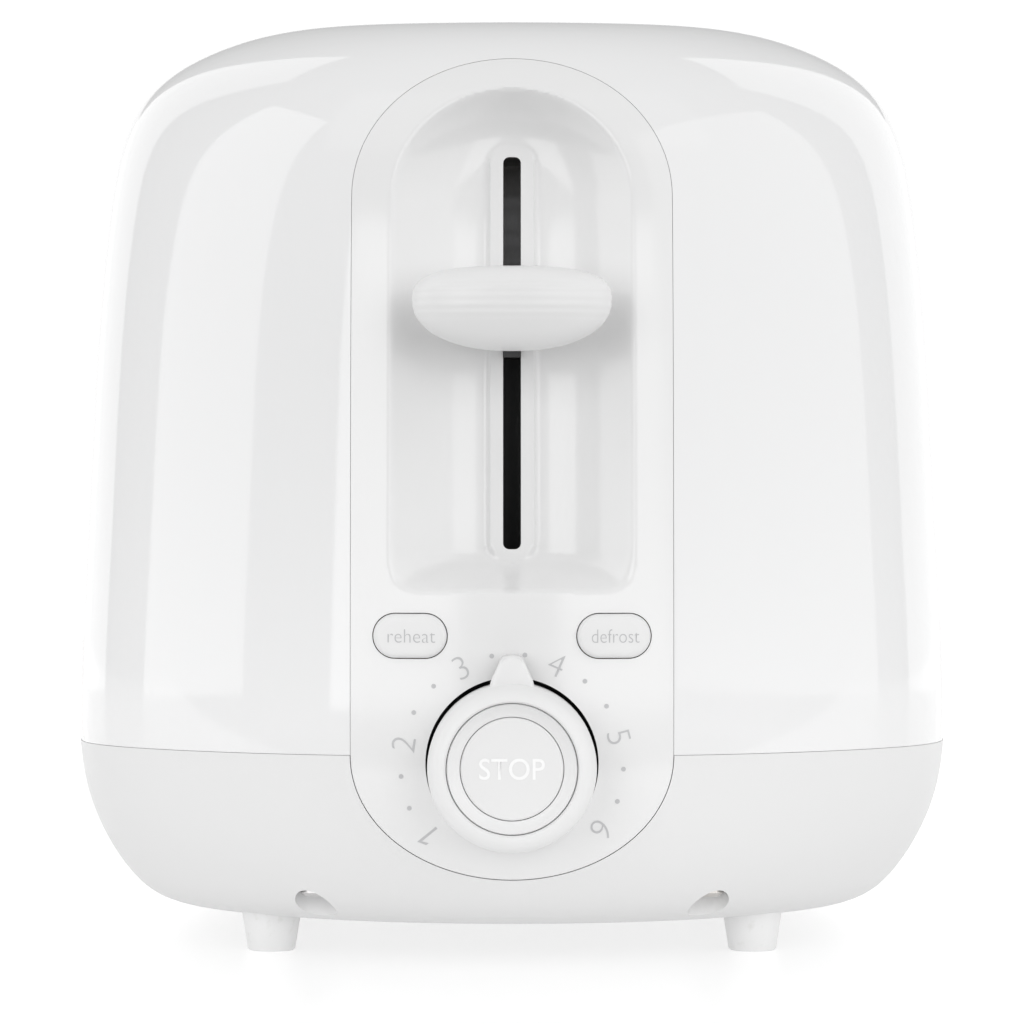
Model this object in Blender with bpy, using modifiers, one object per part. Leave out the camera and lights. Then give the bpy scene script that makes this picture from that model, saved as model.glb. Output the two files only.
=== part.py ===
"""Two-slot pop-up toaster, built from its separate pieces. Metres, +Z up, front towards -Y.

The housing is one rounded form, split into an upper shell, a base and a control panel.
Every piece hangs from the empty "toaster", whose origin is under the middle of the object.
"""
import math

import bmesh
import bpy
from mathutils import Matrix, Vector

# ---- Driving dimensions -------------------------------------------------------------------
GAP = 0.0003                 # clearance between two pieces that touch
WALL = 0.0025                # moulded wall of the housing
SHEET = 0.0008               # sheet steel of the toasting chamber
FORM_LEVELS = 1

# The housing form, as rings: height, half width, half length, depth of the rounded end.
RINGS = (
    (0.0061, 0.0500, 0.0960, 0.046),
    (0.0069, 0.0705, 0.1180, 0.056),
    (0.0132, 0.0784, 0.1272, 0.064),
    (0.0260, 0.0860, 0.1346, 0.0685),
    (0.0420, 0.0892, 0.1374, 0.070),
    (0.0800, 0.0871, 0.1363, 0.070),
    (0.1180, 0.0855, 0.1345, 0.069),
    (0.1480, 0.0832, 0.1300, 0.068),
    (0.1715, 0.0796, 0.1200, 0.066),
    (0.1823, 0.0630, 0.1000, 0.058),
)
TOP_DOME = 0.0077            # rise of the crown above the last ring
CORNER = math.radians(58)    # where the end curve meets the side curve, from the long axis
STRAIGHT = 0.6               # share of each side that stays straight
CUTS_ACROSS = (-0.62, -0.3, 0.0, 0.3, 0.62)
CUTS_ALONG = (-0.8, -0.6, -0.3, 0.0, 0.3, 0.6, 0.8)

FRONT = -0.1358              # front of the housing
REAR = 0.1358
SEAM = 0.0405                # height of the joint between shell and base

# Control panel and lever bay
PANEL_HALF = 0.0305
PANEL_TOP, PANEL_TOP_SPRING = 0.1739, 0.1469
PANEL_BOTTOM, PANEL_BOTTOM_SPRING = 0.0168, 0.0405
PANEL_REACH = (FRONT - 0.02, -0.1000)      # how far the panel's outline cuts into the housing
BAY_HALF = 0.0229
BAY_TOP, BAY_TOP_SPRING, BAY_BOTTOM = 0.1677, 0.1460, 0.0715
BAY_CORNER = 0.005
BAY_FLOOR = -0.1205
BAY_WALL = 0.0022
SLOT_HALF, SLOT_BOTTOM, SLOT_TOP = 0.0018, 0.0796, 0.1543

# Lever, carriage and its travel
KNOB_SIZE = (0.0374, 0.0200, 0.0159)
KNOB_FRONT, KNOB_Z = -0.1480, 0.12455
NECK_BOTTOM, NECK_TOP = 0.1159, 0.1322
ARM_X = 0.0015
ARM_FRONT, ARM_BACK = -0.1235, -0.0803
ARM_DROP_FRONT, ARM_DROP_BACK = -0.1120, -0.1040
CARRIAGE_Z = 0.0750          # mid height of the bread racks with the lever at rest
LEVER_DOWN = 0.036
BAR_FRONT, BAR_BACK = -0.0800, -0.0764
LUG_FRONT = -0.0960
ROD_X, ROD_Y, ROD_RADIUS = 0.0140, -0.0880, 0.0025
SPRING_X, SPRING_RADIUS, SPRING_WIRE, SPRING_TURNS = -0.0100, 0.0034, 0.0005, 8

# Dial and buttons
DIAL_Z, DIAL_RADIUS, DIAL_BORE, DIAL_FACE = 0.0388, 0.0160, 0.0124, -0.1475
DIAL_HOLE = 0.0167
POINTER_TIP = 0.0210
STOP_RADIUS, STOP_FACE = 0.0099, -0.1462
BUTTON_X, BUTTON_Z, BUTTON_WIDTH, BUTTON_HEIGHT = 0.0192, 0.0632, 0.0139, 0.0083
BUTTON_PROUD = 0.0012
SWITCH_FACE, BOARD_FACE, BOARD_THICK = -0.1197, -0.1160, 0.0016

# Toasting chamber
CHAMBER_FRONT, CHAMBER_REAR, CHAMBER_HALF = -0.0720, 0.0850, 0.0600
CHAMBER_BOTTOM, CHAMBER_TOP = 0.0220, 0.1700
BREAD_X, BREAD_HALF_WIDTH = 0.0260, 0.0150
BREAD_FRONT, BREAD_REAR, BREAD_CORNER = -0.0620, 0.0780, 0.0060
SKIRT_BOTTOM = 0.1720
REFLECTOR_X = 0.0580
HEATER_X = 0.0520
HEATER_BOTTOM, HEATER_TOP = 0.0440, 0.1630
HEATER_FRONT, HEATER_REAR = -0.0640, 0.0780
WINDING_TURNS, WINDING_PITCH, WINDING_WIRE = 9, 0.0120, 0.0006
GUARD_OUTER_X, GUARD_INNER_X = 0.0425, 0.0095
GUARD_THICK = 0.0010
GUARD_BOTTOM, GUARD_TOP = 0.0300, 0.1590
GUARD_FRONT, GUARD_REAR = -0.0660, 0.0800
GUARD_TABS = (0.0350, 0.1500)
TAB_REACH = 0.0030
RACK_HALF, RACK_THICK, RACK_SPINE = 0.0105, 0.0015, 0.0015
RACK_FRONT, RACK_REAR, RACK_BARS = -0.0560, 0.0740, 10

# Base, feet and crumb tray
FOOT_X, FOOT_Y, FOOT_TOP_RADIUS, FOOT_BOTTOM_RADIUS = 0.0475, 0.0908, 0.0056, 0.0046
SCREWS = ((-0.0378, -0.1130), (0.0378, -0.1130), (-0.0592, 0.0980), (0.0592, 0.0980))
WELL_RADIUS, WELL_TOP, BOSS_TOP, POST_RADIUS = 0.0040, 0.0150, 0.0200, 0.0040
TRAY_HALF, TRAY_FRONT, TRAY_REAR = 0.0420, -0.0660, 0.1000
TRAY_BOTTOM, TRAY_TOP, TRAY_SHEET = 0.0122, 0.0202, 0.0010
DOOR_HALF, DOOR_BOTTOM, DOOR_TOP = 0.0500, 0.0116, 0.0240
GLAND_Z, GLAND_RADIUS, GLAND_REAR = 0.0317, 0.0060, 0.1395
MAIN_BOARD_Z = 0.0130

BODY_Y = -(KNOB_FRONT + GLAND_REAR) / 2     # puts the origin under the middle of the object

SIDES = (("left", -1), ("right", 1))


# ---- Scene, collections and materials --------------------------------------------------------
def clear_scene():
    for item in list(bpy.context.scene.objects):
        bpy.data.objects.remove(item, do_unlink=True)


def new_collection(name):
    group = bpy.data.collections.new(name)
    bpy.context.scene.collection.children.link(group)
    return group


clear_scene()
PARTS = new_collection("pop_up_toaster")
CUTTERS = new_collection("cutters")


def new_material(name, colour, roughness, metallic=0.0):
    material = bpy.data.materials.new(name)
    material.use_nodes = True
    shader = material.node_tree.nodes["Principled BSDF"]
    shader.inputs["Base Color"].default_value = (*colour, 1.0)
    shader.inputs["Roughness"].default_value = roughness
    shader.inputs["Metallic"].default_value = metallic
    material.diffuse_color = (*colour, 1.0)
    return material


GLOSS_WHITE = new_material("gloss_white_plastic", (0.86, 0.86, 0.86), 0.12)
SATIN_WHITE = new_material("satin_white_plastic", (0.82, 0.82, 0.82), 0.38)
STEEL = new_material("bright_steel", (0.62, 0.62, 0.63), 0.30, 1.0)
WIRE_STEEL = new_material("plated_wire", (0.55, 0.55, 0.56), 0.35, 1.0)
MICA = new_material("mica", (0.52, 0.45, 0.36), 0.55)
NICHROME = new_material("nichrome", (0.36, 0.33, 0.31), 0.45, 1.0)
COPPER = new_material("enamelled_copper", (0.60, 0.27, 0.12), 0.35, 1.0)
BOARD = new_material("circuit_board", (0.33, 0.20, 0.09), 0.55)
BLACK = new_material("black_plastic", (0.03, 0.03, 0.03), 0.50)
RUBBER = new_material("white_rubber", (0.74, 0.74, 0.74), 0.65)
BROWN_WIRE = new_material("brown_insulation", (0.20, 0.08, 0.04), 0.50)
BLUE_WIRE = new_material("blue_insulation", (0.05, 0.12, 0.42), 0.50)


# ---- Builders ------------------------------------------------------------------------------
def new_empty(name, location=(0, 0, 0), parent=None):
    empty = bpy.data.objects.new(name, None)
    empty.empty_display_size = 0.01
    empty.location = location
    empty.parent = parent
    PARTS.objects.link(empty)
    return empty


ROOT = new_empty("toaster", (0, BODY_Y, 0))


def add(name, mesh, material=None, location=(0, 0, 0), parent=ROOT):
    """Link a mesh as a piece, or as a hidden cutter when it has no material."""
    item = bpy.data.objects.new(name, mesh)
    item.location = location
    item.parent = parent
    if material:
        mesh.materials.append(material)
        PARTS.objects.link(item)
    else:
        CUTTERS.objects.link(item)
        item.display_type = "WIRE"
        item.hide_render = True
    return item


def mesh_from(name, build):
    body = bmesh.new()
    build(body)
    mesh = bpy.data.meshes.new(name)
    body.to_mesh(mesh)
    body.free()
    return mesh


def box(name, low, high, material=None, origin=(0, 0, 0), parent=ROOT):
    """A box between two corners, given in the same frame as its origin."""
    middle = (Vector(low) + Vector(high)) / 2 - Vector(origin)
    size = Vector(high) - Vector(low)

    def build(body):
        matrix = Matrix.Translation(middle) @ Matrix.Diagonal((*size, 1))
        bmesh.ops.create_cube(body, size=1, matrix=matrix)

    return add(name, mesh_from(name, build), material, origin, parent)


TURNS = {"X": Matrix.Rotation(math.pi / 2, 4, "Y"), "Y": Matrix.Rotation(math.pi / 2, 4, "X"),
         "Z": Matrix.Identity(4)}


def rod(name, centre, length, radius, axis="Z", sides=16, end_radius=None, material=None, parent=ROOT):
    """A cylinder, or a cone when end_radius (its far end along +axis) differs."""
    def build(body):
        bmesh.ops.create_cone(body, cap_ends=True, segments=sides, radius1=radius,
                              radius2=radius if end_radius is None else end_radius,
                              depth=length, matrix=TURNS[axis])

    mesh = mesh_from(name, build)
    mesh.shade_smooth()
    mesh.set_sharp_from_angle(angle=math.radians(35))
    return add(name, mesh, material, centre, parent)


def arc(centre, radii, start, end, steps):
    """Points along an ellipse's arc, both ends included. Angles are in degrees."""
    angles = [math.radians(start + (end - start) * i / steps) for i in range(steps + 1)]
    return [(centre[0] + radii[0] * math.cos(t), centre[1] + radii[1] * math.sin(t)) for t in angles]


def rounded_box_outline(low, high, radius, steps=4):
    """A rectangle with round corners, as points in a plane."""
    corners = ((high[0] - radius, high[1] - radius, 0), (low[0] + radius, high[1] - radius, 90),
               (low[0] + radius, low[1] + radius, 180), (high[0] - radius, low[1] + radius, 270))
    points = []
    for x, y, start in corners:
        points += arc((x, y), (radius, radius), start, start + 90, steps)
    return points


def plate(name, outline, low, high, axis="Z", material=None, location=(0, 0, 0), parent=ROOT):
    """A flat outline filled and extruded from low to high along an axis, as one closed mesh.

    The outline's plane is XY for axis Z, XZ for axis Y and YZ for axis X.
    """
    curve = bpy.data.curves.new(name, "CURVE")
    curve.dimensions = "2D"
    curve.fill_mode = "BOTH"
    curve.extrude = (high - low) / 2
    spline = curve.splines.new("POLY")
    spline.points.add(len(outline) - 1)
    for point, (u, v) in zip(spline.points, outline):
        point.co = (u, v, 0, 1)
    spline.use_cyclic_u = True
    planes = {"Z": Matrix.Identity(4), "Y": TURNS["Y"],
              "X": Matrix(((0, 0, 1, 0), (1, 0, 0, 0), (0, 1, 0, 0), (0, 0, 0, 1)))}
    mesh = weld_curve(name, curve)
    mesh.transform(planes[axis])
    shift = Vector((0, 0, 0))
    shift["XYZ".index(axis)] = (low + high) / 2
    mesh.transform(Matrix.Translation(shift - Vector(location)))
    return add(name, mesh, material, location, parent)


def weld_curve(name, curve):
    """Turn a curve into a mesh whose caps are welded to its sides."""
    holder = bpy.data.objects.new(name, curve)
    CUTTERS.objects.link(holder)
    bpy.context.view_layer.update()
    evaluated = holder.evaluated_get(bpy.context.evaluated_depsgraph_get())
    mesh = bpy.data.meshes.new_from_object(evaluated)
    bpy.data.objects.remove(holder, do_unlink=True)
    body = bmesh.new()
    body.from_mesh(mesh)
    bmesh.ops.remove_doubles(body, verts=body.verts, dist=0.00002)
    body.to_mesh(mesh)
    body.free()
    mesh.name = name
    return mesh


def tube(name, points, radius, material, parent=ROOT, resolution=2):
    """A round wire through a list of points."""
    curve = bpy.data.curves.new(name, "CURVE")
    curve.dimensions = "3D"
    curve.bevel_depth = radius
    curve.bevel_resolution = resolution
    curve.use_fill_caps = True
    spline = curve.splines.new("POLY")
    spline.points.add(len(points) - 1)
    for point, place in zip(spline.points, points):
        point.co = (*place, 1)
    mesh = weld_curve(name, curve)
    mesh.shade_smooth()
    return add(name, mesh, material, (0, 0, 0), parent)


def smooth_path(points, steps):
    """Read a Catmull-Rom curve through hand-placed points, at steps readings per stretch."""
    places = [Vector(p) for p in points]
    places = [2 * places[0] - places[1]] + places + [2 * places[-1] - places[-2]]
    path = []
    for a, b, c, d in zip(places, places[1:], places[2:], places[3:]):
        for step in range(steps):
            t = step / steps
            path.append(0.5 * (2 * b + (c - a) * t + (2 * a - 5 * b + 4 * c - d) * t * t
                               + (3 * b - a - 3 * c + d) * t ** 3))
    return path + [places[-2]]


def turned(name, profile, location, material=None, axis="Y", steps=32, closed=True, parent=ROOT):
    """A profile of (radius, height) spun about an axis. Height runs towards -Y for axis Y."""
    mesh = bpy.data.meshes.new(name)
    edges = [(i, i + 1) for i in range(len(profile) - 1)]
    if closed:
        edges.append((len(profile) - 1, 0))
    mesh.from_pydata([(radius, 0, height) for radius, height in profile], edges, [])
    item = add(name, mesh, material, location, parent)
    if axis == "Y":
        item.rotation_euler = (math.pi / 2, 0, 0)
    spin = item.modifiers.new("spin", "SCREW")
    spin.steps = steps
    spin.render_steps = steps
    spin.use_merge_vertices = True
    spin.merge_threshold = 0.00002
    spin.use_smooth_shade = True
    return item


def combine(target, other, operation="DIFFERENCE"):
    step = target.modifiers.new(operation.lower(), "BOOLEAN")
    step.operation = operation
    step.object = other
    step.solver = "EXACT"
    return target


def cut(target, *others):
    for other in others:
        combine(target, other)
    return target


def join(target, *others):
    for other in others:
        combine(target, other, "UNION")
    return target


# ---- The housing form ----------------------------------------------------------------------
def side_point(along, half_width, half_length, end_depth):
    """A point on the side of a ring, for along from -1 to 1: straight, then round at both ends."""
    sign = math.copysign(1, along)
    along = abs(along)
    if along < STRAIGHT:
        return half_width, sign * (half_length - end_depth) * along / STRAIGHT
    share = (along - STRAIGHT) / (1 - STRAIGHT)
    angle = math.pi / 2 + (CORNER - math.pi / 2) * share
    return half_width * math.sin(angle), sign * (half_length - end_depth + end_depth * math.cos(angle))


def ring_point(across, along, half_width, half_length, end_depth):
    """A point inside a ring, for across and along from -1 to 1."""
    angle = across * CORNER
    end_x = half_width * math.sin(angle)
    end_y = half_length - end_depth + end_depth * math.cos(angle)
    side_x, side_y = side_point(along, half_width, half_length, end_depth)
    corner_x = half_width * math.sin(CORNER)
    corner_y = half_length - end_depth + end_depth * math.cos(CORNER)
    return end_x * side_x / corner_x, end_y * side_y / corner_y


def grown_rings(grow):
    """The rings moved out by grow, square to the form's profile, and the crown's rise."""
    crown = RINGS[-1][0] + TOP_DOME
    profile = [(RINGS[0][0], 0, 0, 0), *RINGS, (crown, 0, 0, 0)]
    rings = []
    for before, ring, after in zip(profile, profile[1:], profile[2:]):
        rise = after[0] - before[0]
        wide, long = after[1] - before[1], after[2] - before[2]
        out_x = rise / math.hypot(rise, wide)
        up = -wide / math.hypot(rise, wide)
        out_y = rise / math.hypot(rise, long)
        rings.append((ring[0] + grow * up, ring[1] + grow * out_x, ring[2] + grow * out_y,
                      ring[3] + grow * out_y))
    return rings, crown + grow - rings[-1][0]


def housing_form(name, grow=0.0, material=None):
    """The closed form of the housing, as a cage with Subdivision Surface."""
    rings, dome = grown_rings(grow)
    last = len(rings) - 1
    cuts_up = [2 * i / last - 1 for i in range(1, last)]

    def build(body):
        bmesh.ops.create_cube(body, size=2)
        for axis, cuts in enumerate((CUTS_ACROSS, CUTS_ALONG, cuts_up)):
            normal = Vector((axis == 0, axis == 1, axis == 2))
            for place in cuts:
                geometry = body.verts[:] + body.edges[:] + body.faces[:]
                bmesh.ops.bisect_plane(body, geom=geometry, plane_co=normal * place,
                                       plane_no=normal, dist=0.00001)
        for vertex in body.verts:
            across, along, up = vertex.co
            index = round((up + 1) / 2 * last)
            height, *shape = rings[index]
            if index == last:
                height += dome * (1 - max(abs(across), abs(along)) ** 2)
            vertex.co = (*ring_point(across, along, *shape), height)

    mesh = mesh_from(name, build)
    mesh.shade_smooth()
    form = add(name, mesh, material)
    smooth = form.modifiers.new("smooth", "SUBSURF")
    smooth.levels = FORM_LEVELS
    smooth.render_levels = FORM_LEVELS
    return form


def panel_outline(grow=0.0):
    half = PANEL_HALF + grow
    top = arc((0, PANEL_TOP_SPRING), (half, PANEL_TOP - PANEL_TOP_SPRING + grow), 0, 180, 14)
    bottom = arc((0, PANEL_BOTTOM_SPRING), (half, PANEL_BOTTOM_SPRING - PANEL_BOTTOM + grow), 180, 360, 14)
    return top + bottom


def bay_outline(grow=0.0):
    half = BAY_HALF + grow
    low = BAY_BOTTOM - grow
    corner = BAY_CORNER + grow
    top = arc((0, BAY_TOP_SPRING), (half, BAY_TOP - BAY_TOP_SPRING + grow), 0, 180, 12)
    left = arc((-half + corner, low + corner), (corner, corner), 180, 270, 3)
    right = arc((half - corner, low + corner), (corner, corner), 270, 360, 3)
    return top + left + right


def bay_block(name, grow, floor):
    block = plate(name, bay_outline(grow), FRONT - 0.0150, floor, "Y")
    bevel = block.modifiers.new("round", "BEVEL")
    bevel.width = 0.0070 + grow
    bevel.segments = 2
    bevel.limit_method = "ANGLE"
    bevel.angle_limit = math.radians(60)
    return block


def bread_slot(name, side, grow, bottom):
    x = side * BREAD_X
    low = (x - BREAD_HALF_WIDTH - grow, BREAD_FRONT - grow)
    high = (x + BREAD_HALF_WIDTH + grow, BREAD_REAR + grow)
    return plate(name, rounded_box_outline(low, high, BREAD_CORNER + grow, 3), bottom, 0.2000)


def screw_posts():
    """Posts of the upper shell that take the base screws, each with a rib out to the wall."""
    posts, ribs, pilots = [], [], []
    for number, (x, y) in enumerate(SCREWS):
        outward = math.copysign(0.0350, y)
        bottom, top = BOSS_TOP + GAP, 0.0600
        posts.append(rod(f"post_{number}", (x, y, (bottom + top) / 2), top - bottom, POST_RADIUS, sides=10))
        rib_ends = sorted((y, y + outward))
        ribs.append(box(f"post_rib_{number}", (x - 0.0015, rib_ends[0], SEAM),
                        (x + 0.0015, rib_ends[1], top - 0.0010)))
        pilots.append(rod(f"post_pilot_{number}", (x, y, bottom + 0.0050), 0.0160, 0.00175, sides=8))
    return posts, ribs, pilots


def build_upper_shell():
    hollow = housing_form("shell_hollow", -WALL)
    posts, ribs, pilots = screw_posts()
    cut(hollow, *ribs)
    for name, side in SIDES:
        cut(hollow, bread_slot(f"slot_skirt_{name}", side, 0.0020, SKIRT_BOTTOM))
    shell = housing_form("upper_shell", 0.0, GLOSS_WHITE)
    cut(shell, hollow)
    cut(shell, box("below_seam", (-0.2, -0.2, -0.1), (0.2, 0.2, SEAM + GAP / 2)))
    join(shell, *posts)
    cut(shell, *pilots)
    for name, side in SIDES:
        cut(shell, bread_slot(f"bread_slot_{name}", side, 0.0, SKIRT_BOTTOM - 0.0100))
    cut(shell, plate("panel_opening", panel_outline(GAP), *PANEL_REACH, "Y"))
    return shell


def build_base_tray():
    hollow = housing_form("base_hollow", -WALL)
    for number, (x, y) in enumerate(SCREWS):
        cut(hollow, rod(f"boss_{number}", (x, y, BOSS_TOP / 2), BOSS_TOP, 0.0062, sides=12))
    for name, side in SIDES:
        cut(hollow, box(f"tray_rail_{name}", (side * 0.036 - 0.001, -0.060, 0), (side * 0.036 + 0.001, 0.095, 0.0119)))
        for end, y in (("front", CHAMBER_FRONT), ("rear", CHAMBER_REAR)):
            cut(hollow, box(f"chamber_stand_{end}_{name}", (side * 0.056 - 0.004, y - 0.003, 0),
                            (side * 0.056 + 0.004, y + 0.003, CHAMBER_BOTTOM - GAP)))
    base = housing_form("base_tray", 0.0, SATIN_WHITE)
    cut(base, hollow)
    cut(base, box("above_seam", (-0.2, -0.2, SEAM - GAP / 2), (0.2, 0.2, 0.3)))
    cut(base, plate("base_panel_opening", panel_outline(GAP), *PANEL_REACH, "Y"))
    cut(base, box("tray_door", (-DOOR_HALF, 0.100, DOOR_BOTTOM), (DOOR_HALF, 0.160, DOOR_TOP)))
    cut(base, rod("gland_hole", (0, REAR, GLAND_Z), 0.020, GLAND_RADIUS + GAP, "Y", 16))
    for number, (x, y) in enumerate(SCREWS):
        cut(base, rod(f"screw_well_{number}", (x, y, 0.005), 2 * WELL_TOP - 0.010, WELL_RADIUS, sides=12))
        cut(base, rod(f"screw_hole_{number}", (x, y, WELL_TOP), 0.020, 0.00175, sides=8))
    for name, side in SIDES:
        for end, direction in (("front", -1), ("rear", 1)):
            cut(base, rod(f"foot_hole_{end}_{name}", (side * FOOT_X, direction * FOOT_Y, 0.010), 0.020,
                          0.0030 + GAP, sides=10))
        for number in range(3):
            y = (number - 1) * 0.045
            cut(base, box(f"vent_{name}_{number}", (side * 0.051 - 0.002, y - 0.015, 0),
                          (side * 0.051 + 0.002, y + 0.015, 0.015)))
    return base


def button_outline(side, grow=0.0):
    half_w, half_h = BUTTON_WIDTH / 2 + grow, BUTTON_HEIGHT / 2 + grow
    x = side * BUTTON_X
    return rounded_box_outline((x - half_w, BUTTON_Z - half_h), (x + half_w, BUTTON_Z + half_h),
                               half_h * 0.98, 5)


def build_control_panel():
    hollow = housing_form("panel_hollow", -WALL)
    cut(hollow, bay_block("bay_walls", BAY_WALL, BAY_FLOOR + BAY_WALL))
    for name, side in SIDES:
        cut(hollow, rod(f"panel_boss_{name}", (side * 0.025, (FRONT + BOARD_FACE - GAP) / 2, 0.027),
                        BOARD_FACE - GAP - FRONT, 0.0025, "Y", 10))
    panel = housing_form("control_panel", 0.0, SATIN_WHITE)
    combine(panel, plate("panel_block", panel_outline(), *PANEL_REACH, "Y"), "INTERSECT")
    cut(panel, hollow, bay_block("bay_space", 0.0, BAY_FLOOR))
    slot = rounded_box_outline((-SLOT_HALF, SLOT_BOTTOM), (SLOT_HALF, SLOT_TOP), SLOT_HALF / 3, 3)
    cut(panel, plate("lever_slot", slot, BAY_FLOOR - 0.005, BAY_FLOOR + 0.006, "Y"))
    cut(panel, rod("dial_hole", (0, FRONT, DIAL_Z), 0.030, DIAL_HOLE, "Y", 32))
    for name, side in SIDES:
        cut(panel, plate(f"button_hole_{name}", button_outline(side, GAP), FRONT - 0.01, FRONT + 0.012, "Y"))
    return panel


# ---- Lever and carriage ---------------------------------------------------------------------
def build_lever_knob(carriage):
    width, depth, height = KNOB_SIZE

    def build(body):
        bmesh.ops.create_cube(body, size=1, matrix=Matrix.Diagonal((width, depth, height, 1)))

    centre = (0, KNOB_FRONT + depth / 2, KNOB_Z)
    knob = add("lever_knob", mesh_from("lever_knob", build), SATIN_WHITE, centre, carriage)
    round_edges = knob.modifiers.new("round", "BEVEL")
    round_edges.width = height * 0.42
    round_edges.segments = 3
    knob.data.shade_smooth()
    neck = box("knob_neck", (-0.0016, KNOB_FRONT + depth - 0.004, NECK_BOTTOM),
               (0.0016, ARM_FRONT - GAP, NECK_TOP), parent=carriage)
    return join(knob, neck)


def build_lever_arm(carriage):
    low, high = CARRIAGE_Z - 0.005, CARRIAGE_Z + 0.007
    outline = [(ARM_FRONT, 0.116), (ARM_DROP_FRONT, 0.116), (ARM_DROP_FRONT, low), (ARM_BACK, low),
               (ARM_BACK, high), (ARM_DROP_BACK, high), (ARM_DROP_BACK, 0.132), (ARM_FRONT, 0.132)]
    return plate("lever_arm", outline, -ARM_X, ARM_X, "X", STEEL, (0, 0, 0), carriage)


def build_carriage_bracket(carriage):
    bracket = box("carriage_bracket", (-0.031, BAR_FRONT, CARRIAGE_Z - 0.007),
                  (0.031, BAR_BACK, CARRIAGE_Z + 0.007), STEEL, parent=carriage)
    for name, low, high in (("rod", 0.006, 0.022), ("spring", -0.030, -0.006)):
        lug = box(f"{name}_lug", (low, LUG_FRONT, CARRIAGE_Z - 0.002),
                  (high, BAR_FRONT + 0.001, CARRIAGE_Z + 0.002), parent=carriage)
        join(bracket, lug)
    hole = rod("bush_hole", (ROD_X, ROD_Y, CARRIAGE_Z), 0.010, 0.0053, sides=16, parent=carriage)
    return cut(bracket, hole)


def build_carriage_bush(carriage):
    bore, outer, flange = ROD_RADIUS + GAP, 0.0050, 0.0065
    low, high, lug_top = CARRIAGE_Z - 0.009, CARRIAGE_Z + 0.009, CARRIAGE_Z + 0.002 + GAP
    profile = [(bore, high), (flange, high), (flange, lug_top), (outer, lug_top), (outer, low), (bore, low)]
    return turned("carriage_bush", profile, (ROD_X, ROD_Y, 0), BLACK, "Z", 16, parent=carriage)


def build_bread_rack(name, side, carriage):
    """A flat fishbone: a spine with cross bars, and a tongue that reaches the carriage bar."""
    x = side * BREAD_X
    bar = 0.0012
    pitch = (RACK_REAR - RACK_FRONT) / (RACK_BARS - 1)
    right = [(x + RACK_SPINE, BAR_BACK + GAP)]
    for number in range(RACK_BARS):
        y = RACK_FRONT + number * pitch
        right += [(x + RACK_SPINE, y - bar), (x + RACK_HALF, y - bar),
                  (x + RACK_HALF, y + bar), (x + RACK_SPINE, y + bar)]
    right.pop()
    left = [(2 * x - u, v) for u, v in reversed(right)]
    return plate(f"bread_rack_{name}", right + left, CARRIAGE_Z - RACK_THICK / 2,
                 CARRIAGE_Z + RACK_THICK / 2, "Z", WIRE_STEEL, (0, 0, 0), carriage)


def build_carriage():
    carriage = new_empty("lever_carriage", (0, 0, 0), ROOT)
    build_lever_knob(carriage)
    build_lever_arm(carriage)
    build_carriage_bracket(carriage)
    build_carriage_bush(carriage)
    box("catch_plate", (-0.029, -0.095, CARRIAGE_Z - 0.0038), (-0.015, -0.083, CARRIAGE_Z - 0.0023),
        STEEL, parent=carriage)
    for name, side in SIDES:
        build_bread_rack(name, side, carriage)


def build_mechanism():
    rod("guide_rod", (ROD_X, ROD_Y, 0.0958), 0.1505, ROD_RADIUS, sides=14, material=STEEL)
    plate_face = CHAMBER_FRONT - SHEET
    for name, flange, leg_end, left, right in (("top", 0.1680, 0.1560, -0.018, 0.020),
                                               ("bottom", 0.0220, 0.0305, 0.006, 0.022)):
        bracket = box(f"guide_bracket_{name}", (left, LUG_FRONT, flange), (right, plate_face - GAP, flange + 0.0015),
                      STEEL)
        low, high = sorted((flange, leg_end))
        leg = box(f"bracket_leg_{name}", (left, plate_face - GAP - 0.0015, low),
                  (right, plate_face - GAP, high + 0.0001))
        join(bracket, leg)
        cut(bracket, rod(f"rod_hole_{name}", (ROD_X, ROD_Y, flange), 0.010, ROD_RADIUS + GAP, sides=14))
    low, high = CARRIAGE_Z + 0.002 + 0.0010, 0.1680 - 0.0010
    points = []
    steps = SPRING_TURNS * 8
    for step in range(steps + 1):
        angle = 2 * math.pi * step / 8
        points.append((SPRING_X + SPRING_RADIUS * math.cos(angle), ROD_Y + SPRING_RADIUS * math.sin(angle),
                       low + (high - low) * step / steps))
    tube("lift_spring", points, SPRING_WIRE, STEEL, resolution=1)


def build_electromagnet():
    x, y = -0.022, -0.089
    bottom, top = MAIN_BOARD_Z + 0.0016 + GAP, CARRIAGE_Z - 0.0038 - LEVER_DOWN - GAP
    core = box("electromagnet_core", (x - 0.008, y - 0.006, bottom), (x + 0.008, y + 0.006, bottom + 0.004), STEEL)
    leg = rod("magnet_leg", (x, y, (bottom + top) / 2 + 0.001), top - bottom - 0.002, 0.0030, sides=12)
    join(core, leg)
    low, high = bottom + 0.004 + GAP, top - 0.0012
    profile = [(0.0030 + GAP, high), (0.0068, high), (0.0068, low), (0.0030 + GAP, low)]
    turned("electromagnet_coil", profile, (x, y, 0), COPPER, "Z", 16)


# ---- Dial, buttons and control board ------------------------------------------------------------
def depth_from(origin_y):
    """Heights of a turned profile along -Y, measured from its object's origin."""
    return lambda y: origin_y - y


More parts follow.
